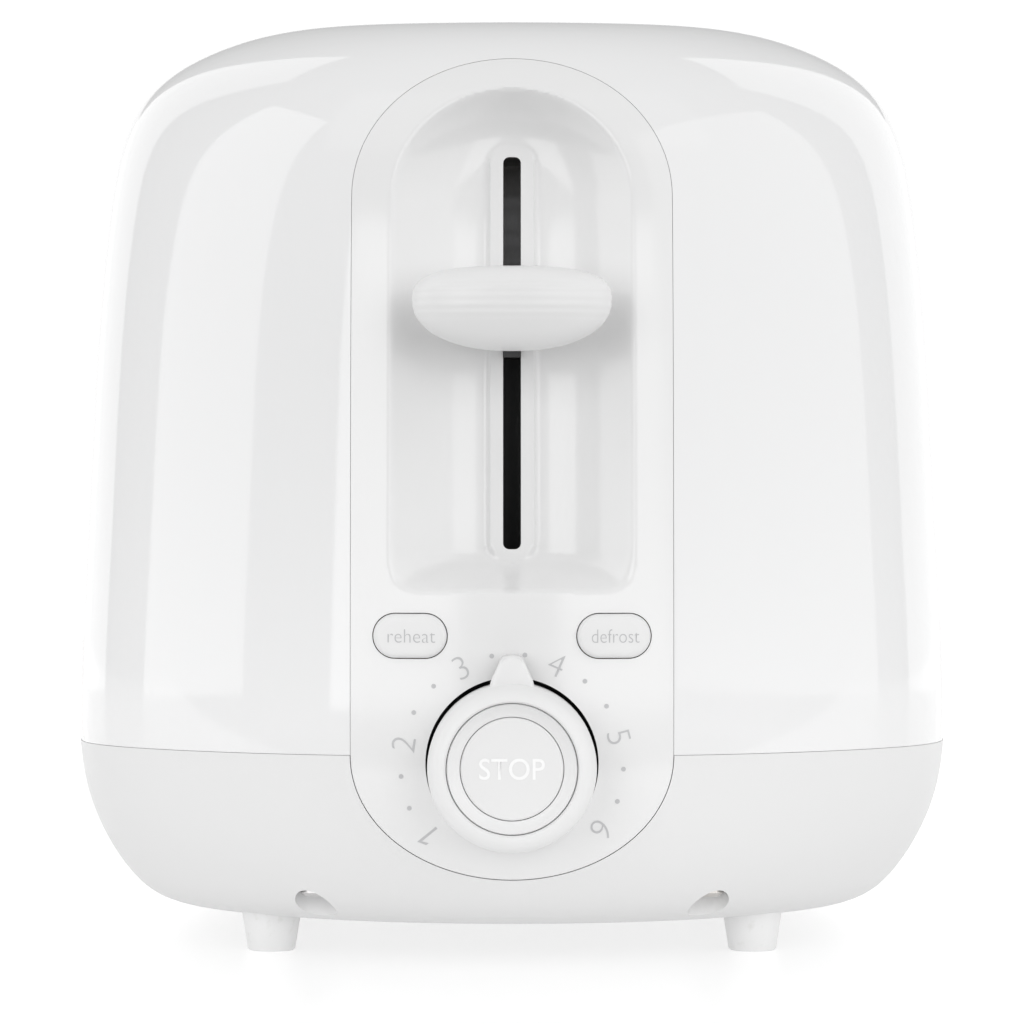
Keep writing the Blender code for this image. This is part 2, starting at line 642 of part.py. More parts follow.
def build_dial():
    height = depth_from(FRONT)
    back, face = height(-0.1212), height(DIAL_FACE)
    round_edge = arc((DIAL_RADIUS - 0.0020, face - 0.0020), (0.0020, 0.0020), 90, 0, 3)
    profile = [(DIAL_BORE, face - 0.0006), *round_edge, (DIAL_RADIUS, back), (DIAL_BORE, back)]
    dial = turned("browning_dial", profile, (0, FRONT, DIAL_Z), SATIN_WHITE, steps=32)
    tip, root = 0.0021, 0.0040
    outline = [(-root, DIAL_RADIUS - 0.002), (root, DIAL_RADIUS - 0.002),
               *arc((0, POINTER_TIP - tip), (tip, tip), 0, 180, 4)]
    pointer = plate("dial_pointer", [(u, v + DIAL_Z) for u, v in outline], FRONT - 0.0085, FRONT - 0.0010, "Y")
    return join(dial, pointer)


def build_stop_button():
    height = depth_from(FRONT)
    face, back = height(STOP_FACE), height(-0.1225)
    bezel_back = height(BOARD_FACE - GAP)
    profile = [(STOP_RADIUS + GAP, face - 0.0030), (DIAL_BORE - GAP, face - 0.0008),
               (DIAL_BORE - GAP, bezel_back), (STOP_RADIUS + GAP, bezel_back)]
    turned("stop_bezel", profile, (0, FRONT, DIAL_Z), SATIN_WHITE, steps=32)
    edge = arc((STOP_RADIUS - 0.0010, face - 0.0010), (0.0010, 0.0010), 90, 0, 2)
    profile = [(0, face), *edge, (STOP_RADIUS, face - 0.0100), (0.0030, face - 0.0100), (0.0030, back), (0, back)]
    turned("stop_button", profile, (0, FRONT, DIAL_Z), SATIN_WHITE, steps=32, closed=False)


def build_push_button(name, side):
    origin = (side * BUTTON_X, FRONT, BUTTON_Z)
    button = plate(name, button_outline(side), FRONT - 0.010, -0.1222, "Y", SATIN_WHITE, origin)
    combine(button, housing_form(f"{name}_face", BUTTON_PROUD), "INTERSECT")
    flange = plate(f"{name}_flange", button_outline(side, 0.0010), -0.1283, -0.1265, "Y")
    return join(button, flange)


def build_controls():
    build_dial()
    build_stop_button()
    build_push_button("reheat_button", -1)
    build_push_button("defrost_button", 1)
    box("control_board", (-0.029, BOARD_FACE, 0.020), (0.029, BOARD_FACE + BOARD_THICK, 0.0688), BOARD)
    for name, x, z in (("stop", 0, DIAL_Z), ("reheat", -BUTTON_X, BUTTON_Z), ("defrost", BUTTON_X, BUTTON_Z)):
        box(f"{name}_switch", (x - 0.003, SWITCH_FACE, z - 0.003), (x + 0.003, BOARD_FACE - GAP, z + 0.003), BLACK)
    height = depth_from(FRONT)
    low, high = height(BOARD_FACE - GAP), height(-0.1208)
    profile = [(DIAL_BORE + 0.0006, high), (0.0170, high), (0.0170, low), (DIAL_BORE + 0.0006, low)]
    turned("dial_potentiometer", profile, (0, FRONT, DIAL_Z), BLACK, steps=24)


# ---- Toasting chamber -------------------------------------------------------------------------
def build_chamber():
    low, high = (-CHAMBER_HALF, CHAMBER_BOTTOM), (CHAMBER_HALF, CHAMBER_TOP - GAP)
    for name, y in (("front", CHAMBER_FRONT - SHEET), ("rear", CHAMBER_REAR)):
        wall = box(f"chamber_{name}_plate", (low[0], y, low[1]), (high[0], y + SHEET, high[1]), STEEL)
        for side_name, side in SIDES:
            for guard, x in (("outer", GUARD_OUTER_X), ("inner", GUARD_INNER_X)):
                for number, z in enumerate(GUARD_TABS):
                    inward = side * (-1 if guard == "outer" else 1)
                    ends = sorted((side * x - inward * 0.0042, side * x + inward * 0.0062))
                    cut(wall, box(f"tab_slot_{name}_{side_name}_{guard}_{number}",
                                  (ends[0], y - 0.001, z - 0.0020), (ends[1], y + 0.002, z + 0.0020)))
            if name == "front":
                x = side * BREAD_X
                cut(wall, box(f"rack_slit_{side_name}", (x - 0.0025, y - 0.001, 0.0360),
                              (x + 0.0025, y + 0.002, 0.1000)))
    outline = rounded_box_outline((-CHAMBER_HALF, CHAMBER_FRONT - SHEET), (CHAMBER_HALF, CHAMBER_REAR + SHEET),
                                  0.0080, 3)
    top = plate("chamber_top_plate", outline, CHAMBER_TOP, CHAMBER_TOP + SHEET, "Z", STEEL)
    for name, side in SIDES:
        cut(top, bread_slot(f"top_plate_slot_{name}", side, 0.0, CHAMBER_TOP - 0.010))
        box(f"reflector_{name}", (side * REFLECTOR_X - SHEET / 2, CHAMBER_FRONT + GAP, CHAMBER_BOTTOM),
            (side * REFLECTOR_X + SHEET / 2, CHAMBER_REAR - GAP, CHAMBER_TOP - GAP), STEEL)


def build_heaters():
    half = 0.0005
    reach = half + GAP + WINDING_WIRE
    for name, x in (("left", -HEATER_X), ("centre", 0.0), ("right", HEATER_X)):
        box(f"heater_board_{name}", (x - half, HEATER_FRONT, HEATER_BOTTOM), (x + half, HEATER_REAR, HEATER_TOP), MICA)
        points = []
        for turn in range(WINDING_TURNS):
            z = HEATER_BOTTOM + 0.006 + turn * WINDING_PITCH
            rise = WINDING_PITCH / 4
            points += [(x + reach, HEATER_FRONT - reach, z), (x + reach, HEATER_REAR + reach, z + rise),
                       (x - reach, HEATER_REAR + reach, z + 2 * rise), (x - reach, HEATER_FRONT - reach, z + 3 * rise)]
        tube(f"heater_winding_{name}", points, WINDING_WIRE, NICHROME)


def build_guards():
    """Stamped guards that hold the bread upright, carried by tabs in the chamber's end plates."""
    for side_name, side in SIDES:
        for kind, distance in (("outer", GUARD_OUTER_X), ("inner", GUARD_INNER_X)):
            x = side * distance
            low, high = x - GUARD_THICK / 2, x + GUARD_THICK / 2
            name = f"bread_guard_{kind}_{side_name}"
            origin = (x, 0, (GUARD_BOTTOM + GUARD_TOP) / 2)
            guard = box(name, (low, GUARD_FRONT, GUARD_BOTTOM), (high, GUARD_REAR, GUARD_TOP), WIRE_STEEL, origin)
            for number in range(8):
                y = GUARD_FRONT + 0.0045 + number * 0.0177
                cut(guard, box(f"{name}_window_{number}", (low - 0.001, y, GUARD_BOTTOM + 0.012),
                               (high + 0.001, y + 0.0140, GUARD_TOP - 0.012)))
            for number, z in enumerate(GUARD_TABS):
                for end, inner, outer in (("front", GUARD_FRONT + 0.001, CHAMBER_FRONT - SHEET - TAB_REACH + 0.0010),
                                          ("rear", GUARD_REAR - 0.001, CHAMBER_REAR + SHEET + TAB_REACH - 0.0010)):
                    ends = sorted((inner, outer))
                    join(guard, box(f"{name}_tab_{end}_{number}", (low, ends[0], z - 0.0015),
                                    (high, ends[1], z + 0.0015)))


# ---- Base fittings ---------------------------------------------------------------------------
def build_feet():
    for end, direction in (("front", -1), ("rear", 1)):
        for name, side in SIDES:
            x, y = side * FOOT_X, direction * FOOT_Y
            title = f"foot_{end}_{name}"
            foot = rod(title, (x, y, 0.0065), 0.0130, FOOT_BOTTOM_RADIUS, sides=20,
                       end_radius=FOOT_TOP_RADIUS, material=RUBBER)
            cut(foot, housing_form(f"{title}_seat", GAP))
            join(foot, rod(f"{title}_spigot", (x, y, 0.0080), 0.0080, 0.0030, sides=10))


def build_screws():
    names = ("base_screw_front_left", "base_screw_front_right", "base_screw_rear_left", "base_screw_rear_right")
    head_top = WELL_TOP - GAP
    for name, (x, y) in zip(names, SCREWS):
        profile = [(0, head_top + 0.0140), (0.0014, head_top + 0.0130), (0.0014, head_top), (0.0032, head_top),
                   (0.0032, head_top - 0.0014), (0.0020, head_top - 0.0022), (0, head_top - 0.0022)]
        turned(name, profile, (x, y, 0), STEEL, "Z", 12, closed=False)


def build_crumb_tray():
    tray = box("crumb_tray", (-TRAY_HALF, TRAY_FRONT, TRAY_BOTTOM), (TRAY_HALF, TRAY_REAR, TRAY_TOP), STEEL)
    cut(tray, box("tray_hollow", (-TRAY_HALF + TRAY_SHEET, TRAY_FRONT + TRAY_SHEET, TRAY_BOTTOM + TRAY_SHEET),
                  (TRAY_HALF - TRAY_SHEET, TRAY_REAR - TRAY_SHEET, TRAY_TOP + 0.01)))
    skin = housing_form("crumb_tray_handle", 0.0, SATIN_WHITE)
    cut(skin, housing_form("handle_hollow", -WALL))
    door = box("handle_block", (-DOOR_HALF + GAP, 0.1000, DOOR_BOTTOM + GAP), (DOOR_HALF - GAP, 0.1600, DOOR_TOP - GAP))
    combine(skin, door, "INTERSECT")
    bridge = box("handle_bridge", (-0.025, TRAY_REAR + GAP, TRAY_BOTTOM + 0.001), (0.025, REAR, TRAY_BOTTOM + 0.0035))
    combine(bridge, housing_form("bridge_limit", -0.0010), "INTERSECT")
    lip = box("handle_lip", (-0.018, 0.1240, DOOR_TOP - 0.0035), (0.018, 0.1370, DOOR_TOP - 0.0015))
    join(skin, bridge, lip)


def build_mains():
    """Gland in the rear wall, terminal block, main board and the two leads between them."""
    height = depth_from(REAR)
    outside, inside = height(GLAND_REAR), height(REAR - 0.0090)
    neck = height(REAR + 0.0006)
    bore = 0.0032
    profile = [(bore, inside), (GLAND_RADIUS, inside), (GLAND_RADIUS, neck), (0.0070, neck),
               (0.0070, outside), (bore, outside)]
    turned("cord_gland", profile, (0, REAR, GLAND_Z), SATIN_WHITE, steps=20)
    box("terminal_block", (-0.012, 0.0945, 0.0260), (0.012, 0.1080, 0.0380), BLACK)
    box("main_board", (-0.040, -0.104, MAIN_BOARD_Z), (0.040, -0.076, MAIN_BOARD_Z + 0.0016), BOARD)
    board_top = MAIN_BOARD_Z + 0.0016 + GAP
    box("main_switch", (-0.006, -0.098, board_top), (0.004, -0.086, 0.0290), BLACK)
    rod("capacitor", (0.029, -0.093, board_top + 0.0070), 0.0140, 0.0050, sides=16, material=BLACK)
    for name, lift, y_end, material in (("live_lead", 0.0, -0.092, BROWN_WIRE), ("neutral_lead", 0.0034, -0.086, BLUE_WIRE)):
        route = [(-0.0135, 0.0990, 0.0300 + lift), (-0.0360, 0.0935, 0.0295 + lift), (-0.0560, 0.0905, 0.0290 + lift),
                 (-0.0670, 0.0840, 0.0285 + lift), (-0.0715, 0.0400, 0.0270 + lift), (-0.0715, -0.0300, 0.0260 + lift),
                 (-0.0670, -0.0720, 0.0250 + lift), (-0.0480, y_end, 0.0200 + lift / 2), (-0.0360, y_end, 0.0163)]
        tube(name, smooth_path(route, 3), 0.0011, material, resolution=1)


build_upper_shell()
build_base_tray()
build_control_panel()
build_carriage()
build_mechanism()
build_electromagnet()
build_controls()
build_chamber()
build_heaters()
build_guards()
build_feet()
build_screws()
build_crumb_tray()
build_mains()
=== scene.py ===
"""The looks of a two-slice pop up toaster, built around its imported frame.

The new pieces are made about the housing's own middle and moved back by BODY_Y when they are done.
"""
import math

import bpy
import numpy as np
from mathutils import Matrix, Vector
from mathutils.bvhtree import BVHTree


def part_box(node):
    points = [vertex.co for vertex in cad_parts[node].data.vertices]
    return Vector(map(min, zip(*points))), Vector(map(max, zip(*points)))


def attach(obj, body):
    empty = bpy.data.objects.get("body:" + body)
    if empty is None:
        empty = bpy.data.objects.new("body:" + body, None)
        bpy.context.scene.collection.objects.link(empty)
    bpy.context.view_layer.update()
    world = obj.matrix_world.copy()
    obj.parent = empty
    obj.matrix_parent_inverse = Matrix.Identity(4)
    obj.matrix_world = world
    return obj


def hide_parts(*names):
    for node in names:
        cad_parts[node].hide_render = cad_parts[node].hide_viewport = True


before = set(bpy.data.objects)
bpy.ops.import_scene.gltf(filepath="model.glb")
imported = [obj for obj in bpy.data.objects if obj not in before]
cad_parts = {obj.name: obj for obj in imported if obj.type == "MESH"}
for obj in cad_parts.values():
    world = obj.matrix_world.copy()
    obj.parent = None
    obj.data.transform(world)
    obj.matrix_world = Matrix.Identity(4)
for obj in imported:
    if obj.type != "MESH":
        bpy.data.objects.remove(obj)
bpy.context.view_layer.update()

# ---- Sizes, in metres ----------------------------------------------------------------------------
GAP = 0.0003
WALL = 0.0025
KNOB_FRONT = -0.1480                              # in the housing's own frame
BODY_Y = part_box("lever_knob")[0].y - KNOB_FRONT   # how far the housing's middle lies behind the origin
FRONT = -0.1358
SEAM = 0.0405
SEAM_GAP = 0.00007                                # the hairline between the shell and the base
SEAM_LEDGE = 0.00015                              # the base stands this far proud of the shell

# The housing form, as rings: height, half width, half length, depth of the rounded end.
RINGS = (
    (0.0061, 0.0500, 0.0960, 0.046),
    (0.0069, 0.0705, 0.1180, 0.056),
    (0.0132, 0.0784, 0.1272, 0.064),
    (0.0260, 0.0860, 0.1346, 0.0685),
    (0.0420, 0.0892, 0.1374, 0.070),
    (0.0800, 0.0871, 0.1363, 0.070),
    (0.1180, 0.0855, 0.1345, 0.069),
    (0.1480, 0.0832, 0.1300, 0.068),
    (0.1715, 0.0796, 0.1200, 0.066),
    (0.1823, 0.0630, 0.1000, 0.058),
)
TOP_DOME = 0.0077
CORNER = math.radians(58)
STRAIGHT = 0.6
CUTS_ACROSS = (-0.62, -0.3, 0.0, 0.3, 0.62)
CUTS_ALONG = (-0.8, -0.6, -0.3, 0.0, 0.3, 0.6, 0.8)

PANEL_HALF = 0.0305
PANEL_TOP, PANEL_TOP_SPRING = 0.1739, 0.1469
PANEL_BOTTOM, PANEL_BOTTOM_SPRING = 0.0168, 0.0405
PANEL_REACH = (FRONT - 0.02, -0.1000)
PANEL_WALL = 0.0022
PANEL_CELL = 0.00055                              # grid cell of the moulded panel face

BAY_HALF, BAY_TOP, BAY_TOP_SPRING, BAY_BOTTOM, BAY_CORNER = 0.0229, 0.1677, 0.1460, 0.0715, 0.005
BAY_DEPTH = 0.0118
BAY_SIDE_RUN, BAY_TOP_RUN, BAY_BOTTOM_RUN = 0.0195, 0.0150, 0.0085
SLOT_HALF, SLOT_BOTTOM, SLOT_TOP = 0.0017, 0.0794, 0.1548
RIM_HALF, RIM_RISE = 0.0044, 0.0008

DIAL_Z, DIAL_RADIUS, DIAL_BORE, DIAL_FACE, DIAL_HOLE = 0.0388, 0.0158, 0.0123, -0.1475, 0.0163
STOP_RADIUS, STOP_FACE = 0.0096, -0.1462
POINTER_TIP = 0.0210
BUTTON_X, BUTTON_Z, BUTTON_WIDTH, BUTTON_HEIGHT, BUTTON_PROUD = 0.0192, 0.0632, 0.0139, 0.0083, 0.0012
NUMBER_RADIUS, DOT_RADIUS = 0.0208, 0.0210
NUMBER_STEP, SCALE_TURN = 51.2, -1.9              # degrees between two numbers, and of the whole scale

KNOB_Z, KNOB_HALF, KNOB_DEPTH, KNOB_ABOVE, KNOB_BELOW = 0.1262, 0.0187, 0.0190, 0.0063, 0.0096

BREAD_X, BREAD_HALF_WIDTH, BREAD_CORNER = 0.0260, 0.0150, 0.0060
BREAD_FRONT, BREAD_REAR = -0.0620, 0.0780
SKIRT_BOTTOM, SKIRT_TOP, SKIRT_WALL = 0.1720, 0.1850, 0.0022   # the walls that hang from the slots' edges
FOOT_X, FOOT_Y, FOOT_RADIUS, FOOT_TOP, FOOT_PLUG = 0.0475, 0.0908, 0.0047, 0.0110, 0.0038
WELL_TOP, WELL_BOTTOM, WELL_RADIUS = 0.0150, -0.0040, 0.0040
SCREWS = ((-0.0378, -0.1130), (0.0378, -0.1130), (-0.0592, 0.0980), (0.0592, 0.0980))
DOOR_HALF, DOOR_BOTTOM, DOOR_TOP, DOOR_GAP = 0.0500, 0.0116, 0.0240, 0.00025
GLAND_Z, GLAND_RADIUS = 0.0317, 0.0060
GLAND_REAR, REAR = 0.1395, 0.1358
TRAY_REAR, TRAY_BOTTOM = 0.1000, 0.0122
CHAMBER_FRONT, CHAMBER_REAR, SHEET, TAB_REACH = -0.0720, 0.0850, 0.0008, 0.0030
GUARD_OUTER_X, GUARD_INNER_X, GUARD_TABS = 0.0425, 0.0095, (0.0350, 0.1500)
GUARD_FRONT, GUARD_REAR, GUARD_BOTTOM, GUARD_TOP = -0.0660, 0.0800, 0.0300, 0.1590
GUARD_WIRE, GUARD_UPRIGHTS = 0.0008, 13                # the wire's radius
BAR_FRONT, BAR_BACK, LUG_FRONT, CARRIAGE_Z = -0.0800, -0.0764, -0.0960, 0.0750
ROD_X, ROD_Y, SPRING_X = 0.0140, -0.0880, -0.0100
RACK_FRONT, RACK_REAR, RACK_HALF, RACK_BARS = -0.0560, 0.0740, 0.0105, 10
SIDES = (("left", -1), ("right", 1))

CAMERA_DISTANCE, CAMERA_HEIGHT, LENS = 0.850, 0.0865, 159.2     # the lens in millimetres
WORLD_LIGHT = 0.47


# ---- Materials -----------------------------------------------------------------------------------
class Field:
    """A value in a material, so that shader maths reads as plain arithmetic."""

    def __init__(self, finish, socket):
        self.finish = finish
        self.socket = socket

    def maths(self, operation, *others, clamp=False):
        values = dict(enumerate((self, *others)))
        return self.finish.node("ShaderNodeMath", {"operation": operation, "use_clamp": clamp}, values)

    def __add__(self, other):
        return self.maths("ADD", other)

    def __sub__(self, other):
        return self.maths("SUBTRACT", other)

    def __mul__(self, other):
        return self.maths("MULTIPLY", other)

    def clamped(self):
        return self.maths("ADD", 0.0, clamp=True)

    def sine(self):
        return self.maths("SINE")

    def between(self, low, high):
        """0 below low, 1 above high and a straight slope in between."""
        return ((self - low) * (1.0 / (high - low))).clamped()


class Finish:
    """One material, with the nodes that its surface needs."""

    def __init__(self, name):
        self.material = bpy.data.materials.new(name)
        self.material.use_nodes = True
        self.tree = self.material.node_tree
        self.shader = self.tree.nodes["Principled BSDF"]
        self.place = None

    def node(self, kind, settings=None, values=None, output=0):
        item = self.tree.nodes.new(kind)
        for name, value in (settings or {}).items():
            setattr(item, name, value)
        for key, value in (values or {}).items():
            self.feed(item.inputs[key], value)
        return Field(self, item.outputs[output])

    def feed(self, socket, value):
        if isinstance(value, Field):
            self.tree.links.new(value.socket, socket)
        else:
            socket.default_value = value

    def position(self):
        if self.place is None:
            self.place = self.node("ShaderNodeTexCoord", output="Object")
        return self.place

    def axis(self, name):
        return self.node("ShaderNodeSeparateXYZ", values={0: self.position()}, output=name)

    def stretched(self, scale):
        return self.node("ShaderNodeMapping", values={"Vector": self.position(), "Scale": scale})

    def noise(self, scale, detail=2.0, place=None):
        values = {"Vector": place or self.position(), "Scale": scale, "Detail": detail}
        return self.node("ShaderNodeTexNoise", values=values)

    def mix(self, factor, first, second):
        values = {0: factor, 6: (*first, 1.0) if isinstance(first, tuple) else first,
                  7: (*second, 1.0) if isinstance(second, tuple) else second}
        return self.node("ShaderNodeMix", {"data_type": "RGBA"}, values, output=2)

    def bump(self, height, depth, strength=1.0):
        values = {"Height": height, "Distance": depth, "Strength": strength}
        self.feed(self.shader.inputs["Normal"], self.node("ShaderNodeBump", values=values))

    def set(self, **values):
        names = {"colour": "Base Color", "roughness": "Roughness", "metallic": "Metallic", "ior": "IOR",
                 "specular": "Specular IOR Level"}
        for name, value in values.items():
            if isinstance(value, tuple) and name == "colour":
                value = (*value, 1.0)
            self.feed(self.shader.inputs[names[name]], value)
        return self


def gloss_white():
    finish = Finish("gloss_white_shell")
    cloud = finish.noise(9.0, 3.0)
    finish.set(colour=finish.mix(cloud, (0.800, 0.801, 0.803), (0.824, 0.825, 0.827)))
    finish.set(roughness=finish.noise(40.0, 3.0) * 0.03 + 0.045, ior=1.49)
    finish.bump(finish.noise(120.0, 1.0), 0.000006, 0.5)
    return finish.material


def moulded_white(name, light, rough, grain=2600.0):
    """Satin plastic with the fine grain of a spark-eroded mould."""
    finish = Finish(name)
    cloud = finish.noise(14.0, 3.0)
    shade = tuple(c * 0.975 for c in light)
    finish.set(colour=finish.mix(cloud, shade, light))
    finish.set(roughness=finish.noise(160.0, 4.0) * 0.08 + rough, ior=1.49)
    finish.bump(finish.noise(grain, 3.0), 0.000016, 0.55)
    return finish.material


def white_rubber():
    finish = Finish("white_rubber")
    scuff = finish.noise(420.0, 5.0).between(0.58, 0.72)
    finish.set(colour=finish.mix(scuff, (0.80, 0.80, 0.80), (0.74, 0.74, 0.73)))
    finish.set(roughness=scuff * 0.12 + 0.52)
    finish.bump(finish.noise(1500.0, 3.0), 0.00003, 0.6)
    return finish.material


def sheet_steel():
    """Aluminised sheet with rolling lines and faint heat tint."""
    finish = Finish("sheet_steel")
    lines = finish.noise(900.0, 4.0, finish.stretched((0.02, 0.02, 1.0)))
    tint = finish.noise(26.0, 3.0).between(0.45, 0.75)
    finish.set(colour=finish.mix(tint, (0.62, 0.62, 0.63), (0.56, 0.52, 0.46)), metallic=1.0)
    finish.set(roughness=lines * 0.20 + 0.22)
    finish.bump(lines, 0.00001, 0.5)
    return finish.material


def plated_wire():
    finish = Finish("plated_wire")
    tint = finish.noise(60.0, 4.0).between(0.5, 0.8)
    finish.set(colour=finish.mix(tint, (0.60, 0.60, 0.60), (0.42, 0.36, 0.30)), metallic=1.0)
    finish.set(roughness=finish.noise(700.0, 3.0) * 0.18 + 0.22)
    finish.bump(finish.noise(1800.0, 2.0), 0.00001, 0.5)
    return finish.material


def mica():
    finish = Finish("mica")
    flakes = finish.node("ShaderNodeTexVoronoi", {"feature": "F1"},
                         {"Vector": finish.position(), "Scale": 520.0}, output="Color")
    cloud = finish.noise(90.0, 5.0)
    base = finish.mix(cloud, (0.40, 0.33, 0.25), (0.58, 0.52, 0.43))
    finish.set(colour=finish.mix(0.12, base, flakes), roughness=cloud * 0.25 + 0.35)
    finish.bump(cloud, 0.00004, 0.5)
    return finish.material


def nichrome():
    finish = Finish("nichrome")
    oxide = finish.noise(240.0, 4.0).between(0.35, 0.7)
    finish.set(colour=finish.mix(oxide, (0.30, 0.28, 0.27), (0.16, 0.14, 0.14)), metallic=1.0)
    finish.set(roughness=oxide * 0.25 + 0.35)
    return finish.material


def enamelled_copper():
    finish = Finish("enamelled_copper")
    turns = (finish.axis("Z") * 12000.0).sine() * 0.5 + 0.5
    # The colour darkens in the grooves between turns: painted shade there, while the bump gives the turns their
    # relief.
    finish.set(colour=finish.mix(turns, (0.32, 0.10, 0.04), (0.66, 0.27, 0.11)), metallic=0.9, roughness=0.28)
    finish.bump(turns, 0.00012, 0.8)
    return finish.material


def circuit_board():
    finish = Finish("circuit_board")
    weave = finish.noise(1500.0, 3.0)
    finish.set(colour=finish.mix(weave, (0.30, 0.19, 0.08), (0.40, 0.26, 0.12)), roughness=weave * 0.15 + 0.42)
    finish.bump(weave, 0.00003, 0.5)
    return finish.material


def dark_plastic():
    finish = Finish("black_plastic")
    grain = finish.noise(1800.0, 3.0)
    finish.set(colour=finish.mix(grain, (0.018, 0.018, 0.019), (0.034, 0.034, 0.036)), roughness=grain * 0.15 + 0.38)
    finish.bump(grain, 0.00003, 0.5)
    return finish.material


def insulation(name, colour):
    finish = Finish(name)
    cloud = finish.noise(300.0, 3.0)
    dark = tuple(c * 0.75 for c in colour)
    finish.set(colour=finish.mix(cloud, dark, colour), roughness=cloud * 0.15 + 0.35)
    return finish.material


def print_ink(name, colour):
    finish = Finish(name)
    speckle = finish.noise(2600.0, 3.0)
    dark = tuple(c * 0.94 for c in colour)
    finish.set(colour=finish.mix(speckle, dark, colour), roughness=speckle * 0.1 + 0.42)
    return finish.material


def blackened_steel():
    finish = Finish("blackened_steel")
    cloud = finish.noise(220.0, 4.0)
    finish.set(colour=finish.mix(cloud, (0.030, 0.030, 0.032), (0.060, 0.060, 0.062)), roughness=cloud * 0.2 + 0.45)
    finish.bump(cloud, 0.00002, 0.4)
    return finish.material


GLOSS_WHITE = gloss_white()
# The base's white is a darker copy of the panel's satin white: painted shade for the dimmer light that falls low on
# the housing.
BASE_WHITE_PAINTED_SHADE = moulded_white("satin_white_base_painted_shade", (0.765, 0.765, 0.765), 0.42)
PANEL_WHITE = moulded_white("satin_white_panel", (0.80, 0.80, 0.80), 0.10, 900.0)
CONTROL_WHITE = moulded_white("satin_white_control", (0.79, 0.79, 0.79), 0.34)
RUBBER = white_rubber()
STEEL = sheet_steel()
DARK_STEEL = blackened_steel()
WIRE = plated_wire()
MICA = mica()
NICHROME = nichrome()
COPPER = enamelled_copper()
BOARD = circuit_board()
BLACK = dark_plastic()
BROWN = insulation("brown_insulation", (0.20, 0.08, 0.04))
BLUE = insulation("blue_insulation", (0.05, 0.12, 0.42))
GREY_PRINT = print_ink("grey_print", (0.53, 0.53, 0.54))
PALE_PRINT = print_ink("pale_print", (0.94, 0.94, 0.94))

NODES_BY_FINISH = (
    (DARK_STEEL, "lever_arm"),
    (STEEL, "carriage_bracket catch_plate guide_rod guide_bracket_top guide_bracket_bottom "
            "lift_spring electromagnet_core chamber_front_plate chamber_rear_plate chamber_top_plate "
            "reflector_left reflector_right crumb_tray base_screw_front_left base_screw_front_right "
            "base_screw_rear_left base_screw_rear_right"),
    (WIRE, "bread_rack_left bread_rack_right bread_guard_inner_left bread_guard_inner_right "
           "bread_guard_outer_left bread_guard_outer_right"),
    (MICA, "heater_board_left heater_board_centre heater_board_right"),
    (NICHROME, "heater_winding_left heater_winding_centre heater_winding_right"),
    (COPPER, "electromagnet_coil"),
    (BOARD, "control_board main_board"),
    (BLACK, "carriage_bush stop_switch reheat_switch defrost_switch dial_potentiometer terminal_block "
            "main_switch capacitor"),
    (RUBBER, "foot_front_left foot_front_right foot_rear_left foot_rear_right"),
    (BROWN, "live_lead"),
    (BLUE, "neutral_lead"),
    (BASE_WHITE_PAINTED_SHADE, "cord_gland crumb_tray_handle base_tray"),
    (CONTROL_WHITE, "stop_bezel stop_button browning_dial reheat_button defrost_button lever_knob"),
    (PANEL_WHITE, "control_panel"),
    (GLOSS_WHITE, "upper_shell"),
)


def finish_frame_nodes():
    for finish, names in NODES_BY_FINISH:
        for name in names.split():
            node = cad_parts[name]
            node.data.materials.clear()
            node.data.materials.append(finish)


# ---- Modelling helpers ---------------------------------------------------------------------------
def take(item):
    """Make an object the only one selected and active."""
    bpy.ops.object.select_all(action="DESELECT")
    item.select_set(True)
    bpy.context.view_layer.objects.active = item
    return item


def fresh(name):
    """Name the primitive that was just added."""
    item = bpy.context.active_object
    item.name = name
    item.data.name = name
    return take(item)


def apply_modifier(item, kind, **settings):
    take(item)
    step = item.modifiers.new(kind.lower(), kind)
    for name, value in settings.items():
        setattr(step, name, value)
    bpy.ops.object.modifier_apply(modifier=step.name)
    return item


def carve(item, cutter, operation="DIFFERENCE", solver="EXACT"):
    apply_modifier(item, "BOOLEAN", operation=operation, object=cutter, solver=solver)
    bpy.data.objects.remove(cutter, do_unlink=True)
    return item


def bake_transform(item):
    take(item)
    bpy.ops.object.transform_apply(location=True, rotation=True, scale=True)
    return item


def smooth(item, angle=32):
    take(item)
    bpy.ops.object.shade_smooth_by_angle(angle=math.radians(angle))
    return item


def settle(item, finish, body, *nodes, slot=None):
    """Move a finished piece to the frame's place, give it its finish, tie it to its body and hide the frame nodes it
    takes the place of.
    """
    item.data.transform(Matrix.Translation((0, BODY_Y, 0)))
    item.data.materials.clear()
    item.data.materials.append(finish)
    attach(item, body)
    if nodes:
        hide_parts(*nodes)
    return item


def arc(centre, radii, start, end, steps):
    angles = [math.radians(start + (end - start) * i / steps) for i in range(steps + 1)]
    return [(centre[0] + radii[0] * math.cos(t), centre[1] + radii[1] * math.sin(t)) for t in angles]


def rounded_outline(low, high, radius, steps=8):
    corners = ((high[0] - radius, high[1] - radius, 0), (low[0] + radius, high[1] - radius, 90),
               (low[0] + radius, low[1] + radius, 180), (high[0] - radius, low[1] + radius, 270))
    points = []
    for x, y, start in corners:
        points += arc((x, y), (radius, radius), start, start + 90, steps)
    return points


